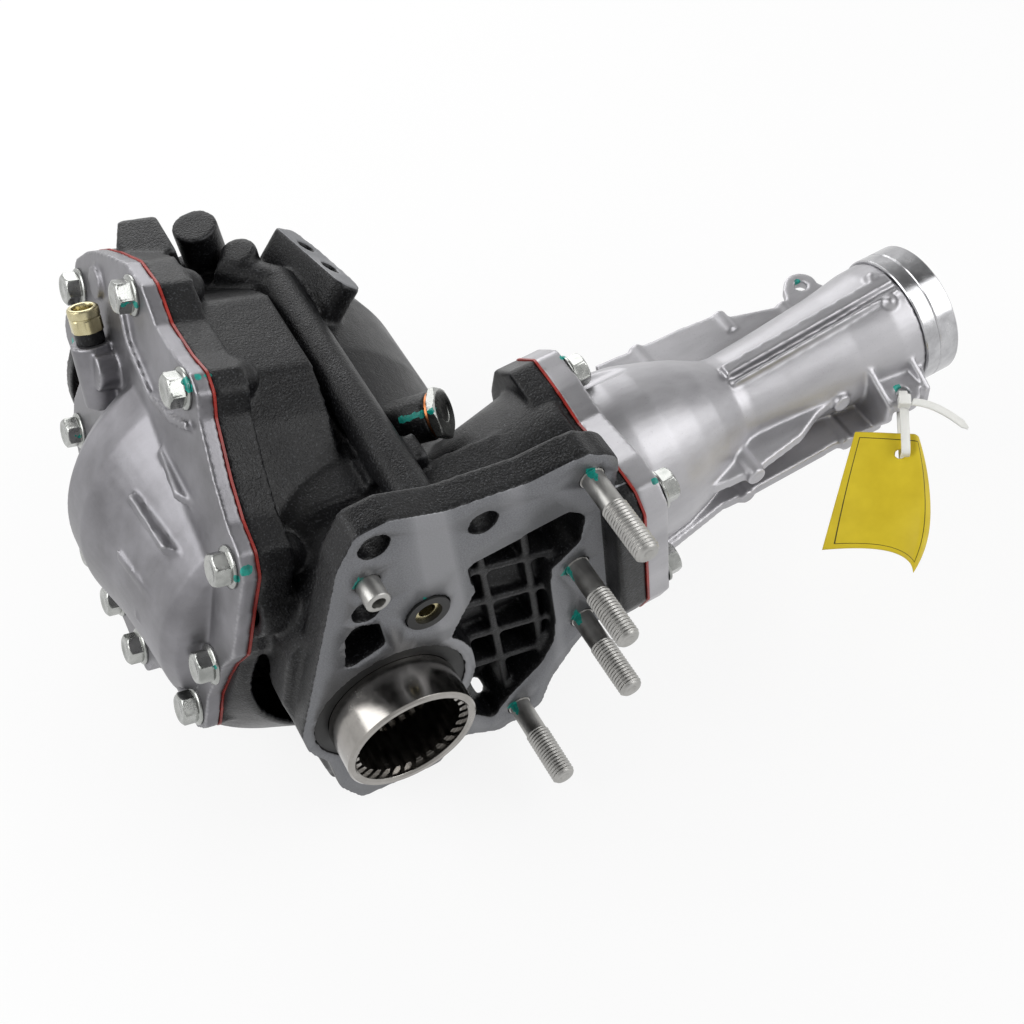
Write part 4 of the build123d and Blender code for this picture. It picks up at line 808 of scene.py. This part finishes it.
def markDabs(facts, pixels):
    # a ray through each pixel finds the spot on the nearest piece; each piece keeps how near its points are
    place, right, down, forward = (np.array(facts[key]) for key in ("place", "right", "down", "forward"))
    middleAcross, middleBelow = facts["principalPoint"]
    spots, sizes = [], []
    for across, below, millimetres in pixels:
        ray = facts["focalPixels"] * forward + (across - middleAcross) * right + (below - middleBelow) * down
        ray /= np.linalg.norm(ray)
        hits = [piece.ray_cast(Vector(place), Vector(ray)) for piece in dressed]
        hits = [np.array(hit[1]) for hit in hits if hit[0]]
        if hits:
            spots.append(min(hits, key=lambda hit: np.linalg.norm(hit - place)))
            sizes.append(millimetres / 1000)
    for piece in dressed:
        points = pointsAndEnds(piece.data)[0]
        nearness = np.zeros(len(points))
        for spot, size in zip(spots, sizes):
            nearness = np.maximum(nearness, size + dabFacts["margin"] - np.linalg.norm(points - spot, axis=1))
        layer = piece.data.attributes.new("dabNearness", "FLOAT", "POINT")
        layer.data.foreach_set("value", nearness)
    print("marking paint:", len(spots), "dabs")


bpy.context.view_layer.update()
markDabs(cameraFacts, dabPixels)


def makeCamera(facts):
    data = bpy.data.cameras.new("photoCamera")
    camera = bpy.data.objects.new("photoCamera", data)
    bpy.context.scene.collection.objects.link(camera)
    right, down, forward = (Vector(facts[key]) for key in ("right", "down", "forward"))
    turn = Matrix((right, -down, -forward)).transposed().to_4x4()
    camera.matrix_world = Matrix.Translation(facts["place"]) @ turn
    size = facts["imageSize"]
    data.lens = facts["focalPixels"] * data.sensor_width / size
    data.shift_x = (size / 2 - facts["principalPoint"][0]) / size
    data.shift_y = (facts["principalPoint"][1] - size / 2) / size
    data.clip_end = 20
    bpy.context.scene.camera = camera


def makeLights(facts):
    for name, place, aim, size, watts in facts:
        data = bpy.data.lights.new(name, "AREA")
        data.size = size
        data.energy = watts
        lamp = bpy.data.objects.new(name, data)
        lamp.location = place
        lamp.rotation_euler = (Vector(aim) - Vector(place)).to_track_quat("-Z", "Y").to_euler()
        bpy.context.scene.collection.objects.link(lamp)


def seenRays(tree):
    # 1 for rays from the camera, and for those that metal and glass show it
    path = addNode(tree, "ShaderNodeLightPath")
    shown = mathNode(tree, "MAXIMUM", path.outputs["Is Camera Ray"], path.outputs["Is Transmission Ray"])
    return mathNode(tree, "MAXIMUM", shown, path.outputs["Is Glossy Ray"])


worldFacts = {
    # brightness at the horizon and overhead, the two heights (as the sine of the angle) between which it falls,
    # and the share that diffuse surfaces get, where mirrors and the camera get the whole
    "horizon": 1.0, "overhead": 0.2, "from": 0.2, "to": 0.85, "diffuse": 0.75,
}


def makeWorld(facts):
    world = bpy.data.worlds.new("studio")
    bpy.context.scene.world = world
    world.use_nodes = True
    tree = world.node_tree
    tree.nodes.clear()
    seen = seenRays(tree)
    way = addNode(tree, "ShaderNodeTexCoord").outputs["Generated"]
    height = addNode(tree, "ShaderNodeSeparateXYZ", links={0: way}).outputs["Z"]
    sky = spread(tree, height, facts["horizon"], facts["overhead"], facts["from"], facts["to"])
    strength = mathNode(tree, "MULTIPLY", sky, blendValues(tree, seen, facts["diffuse"], 1.0))
    background = addNode(tree, "ShaderNodeBackground", {"Color": (1, 1, 1, 1)}, {"Strength": strength})
    addNode(tree, "ShaderNodeOutputWorld", links={"Surface": background.outputs[0]})


floorFacts = {"half": 9.0, "drop": 0.0005, "colour": "#ececec", "glow": 0.86}


def makeFloor(facts, lowest):
    # a pale sheet under the part, nearly white to the camera and in mirrors, with the part's shadow on it
    half = facts["half"]
    mesh = bpy.data.meshes.new("paleFloor")
    corners = [(-half, -half), (half, -half), (half, half), (-half, half)]
    mesh.from_pydata([(x, y, lowest - facts["drop"]) for x, y in corners], [], [(0, 1, 2, 3)])
    floor = linked("paleFloor", mesh)
    material = bpy.data.materials.new("paleFloor")
    material.use_nodes = True
    tree = material.node_tree
    tree.nodes.clear()
    diffuse = addNode(tree, "ShaderNodeBsdfDiffuse", {"Color": linear(facts["colour"])})
    glow = addNode(tree, "ShaderNodeEmission", {"Color": (1, 1, 1, 1), "Strength": 1.0})
    factor = mathNode(tree, "MULTIPLY", seenRays(tree), facts["glow"])
    mix = addNode(tree, "ShaderNodeMixShader", links={0: factor, 1: diffuse.outputs[0], 2: glow.outputs[0]})
    addNode(tree, "ShaderNodeOutputMaterial", links={"Surface": mix.outputs[0]})
    mesh.materials.append(material)


makeCamera(cameraFacts)
makeLights(lightFacts)
makeWorld(worldFacts)
makeFloor(floorFacts, cadBox[0][2])
bpy.context.scene.view_settings.view_transform = "Standard"
print("camera, lights and floor made")
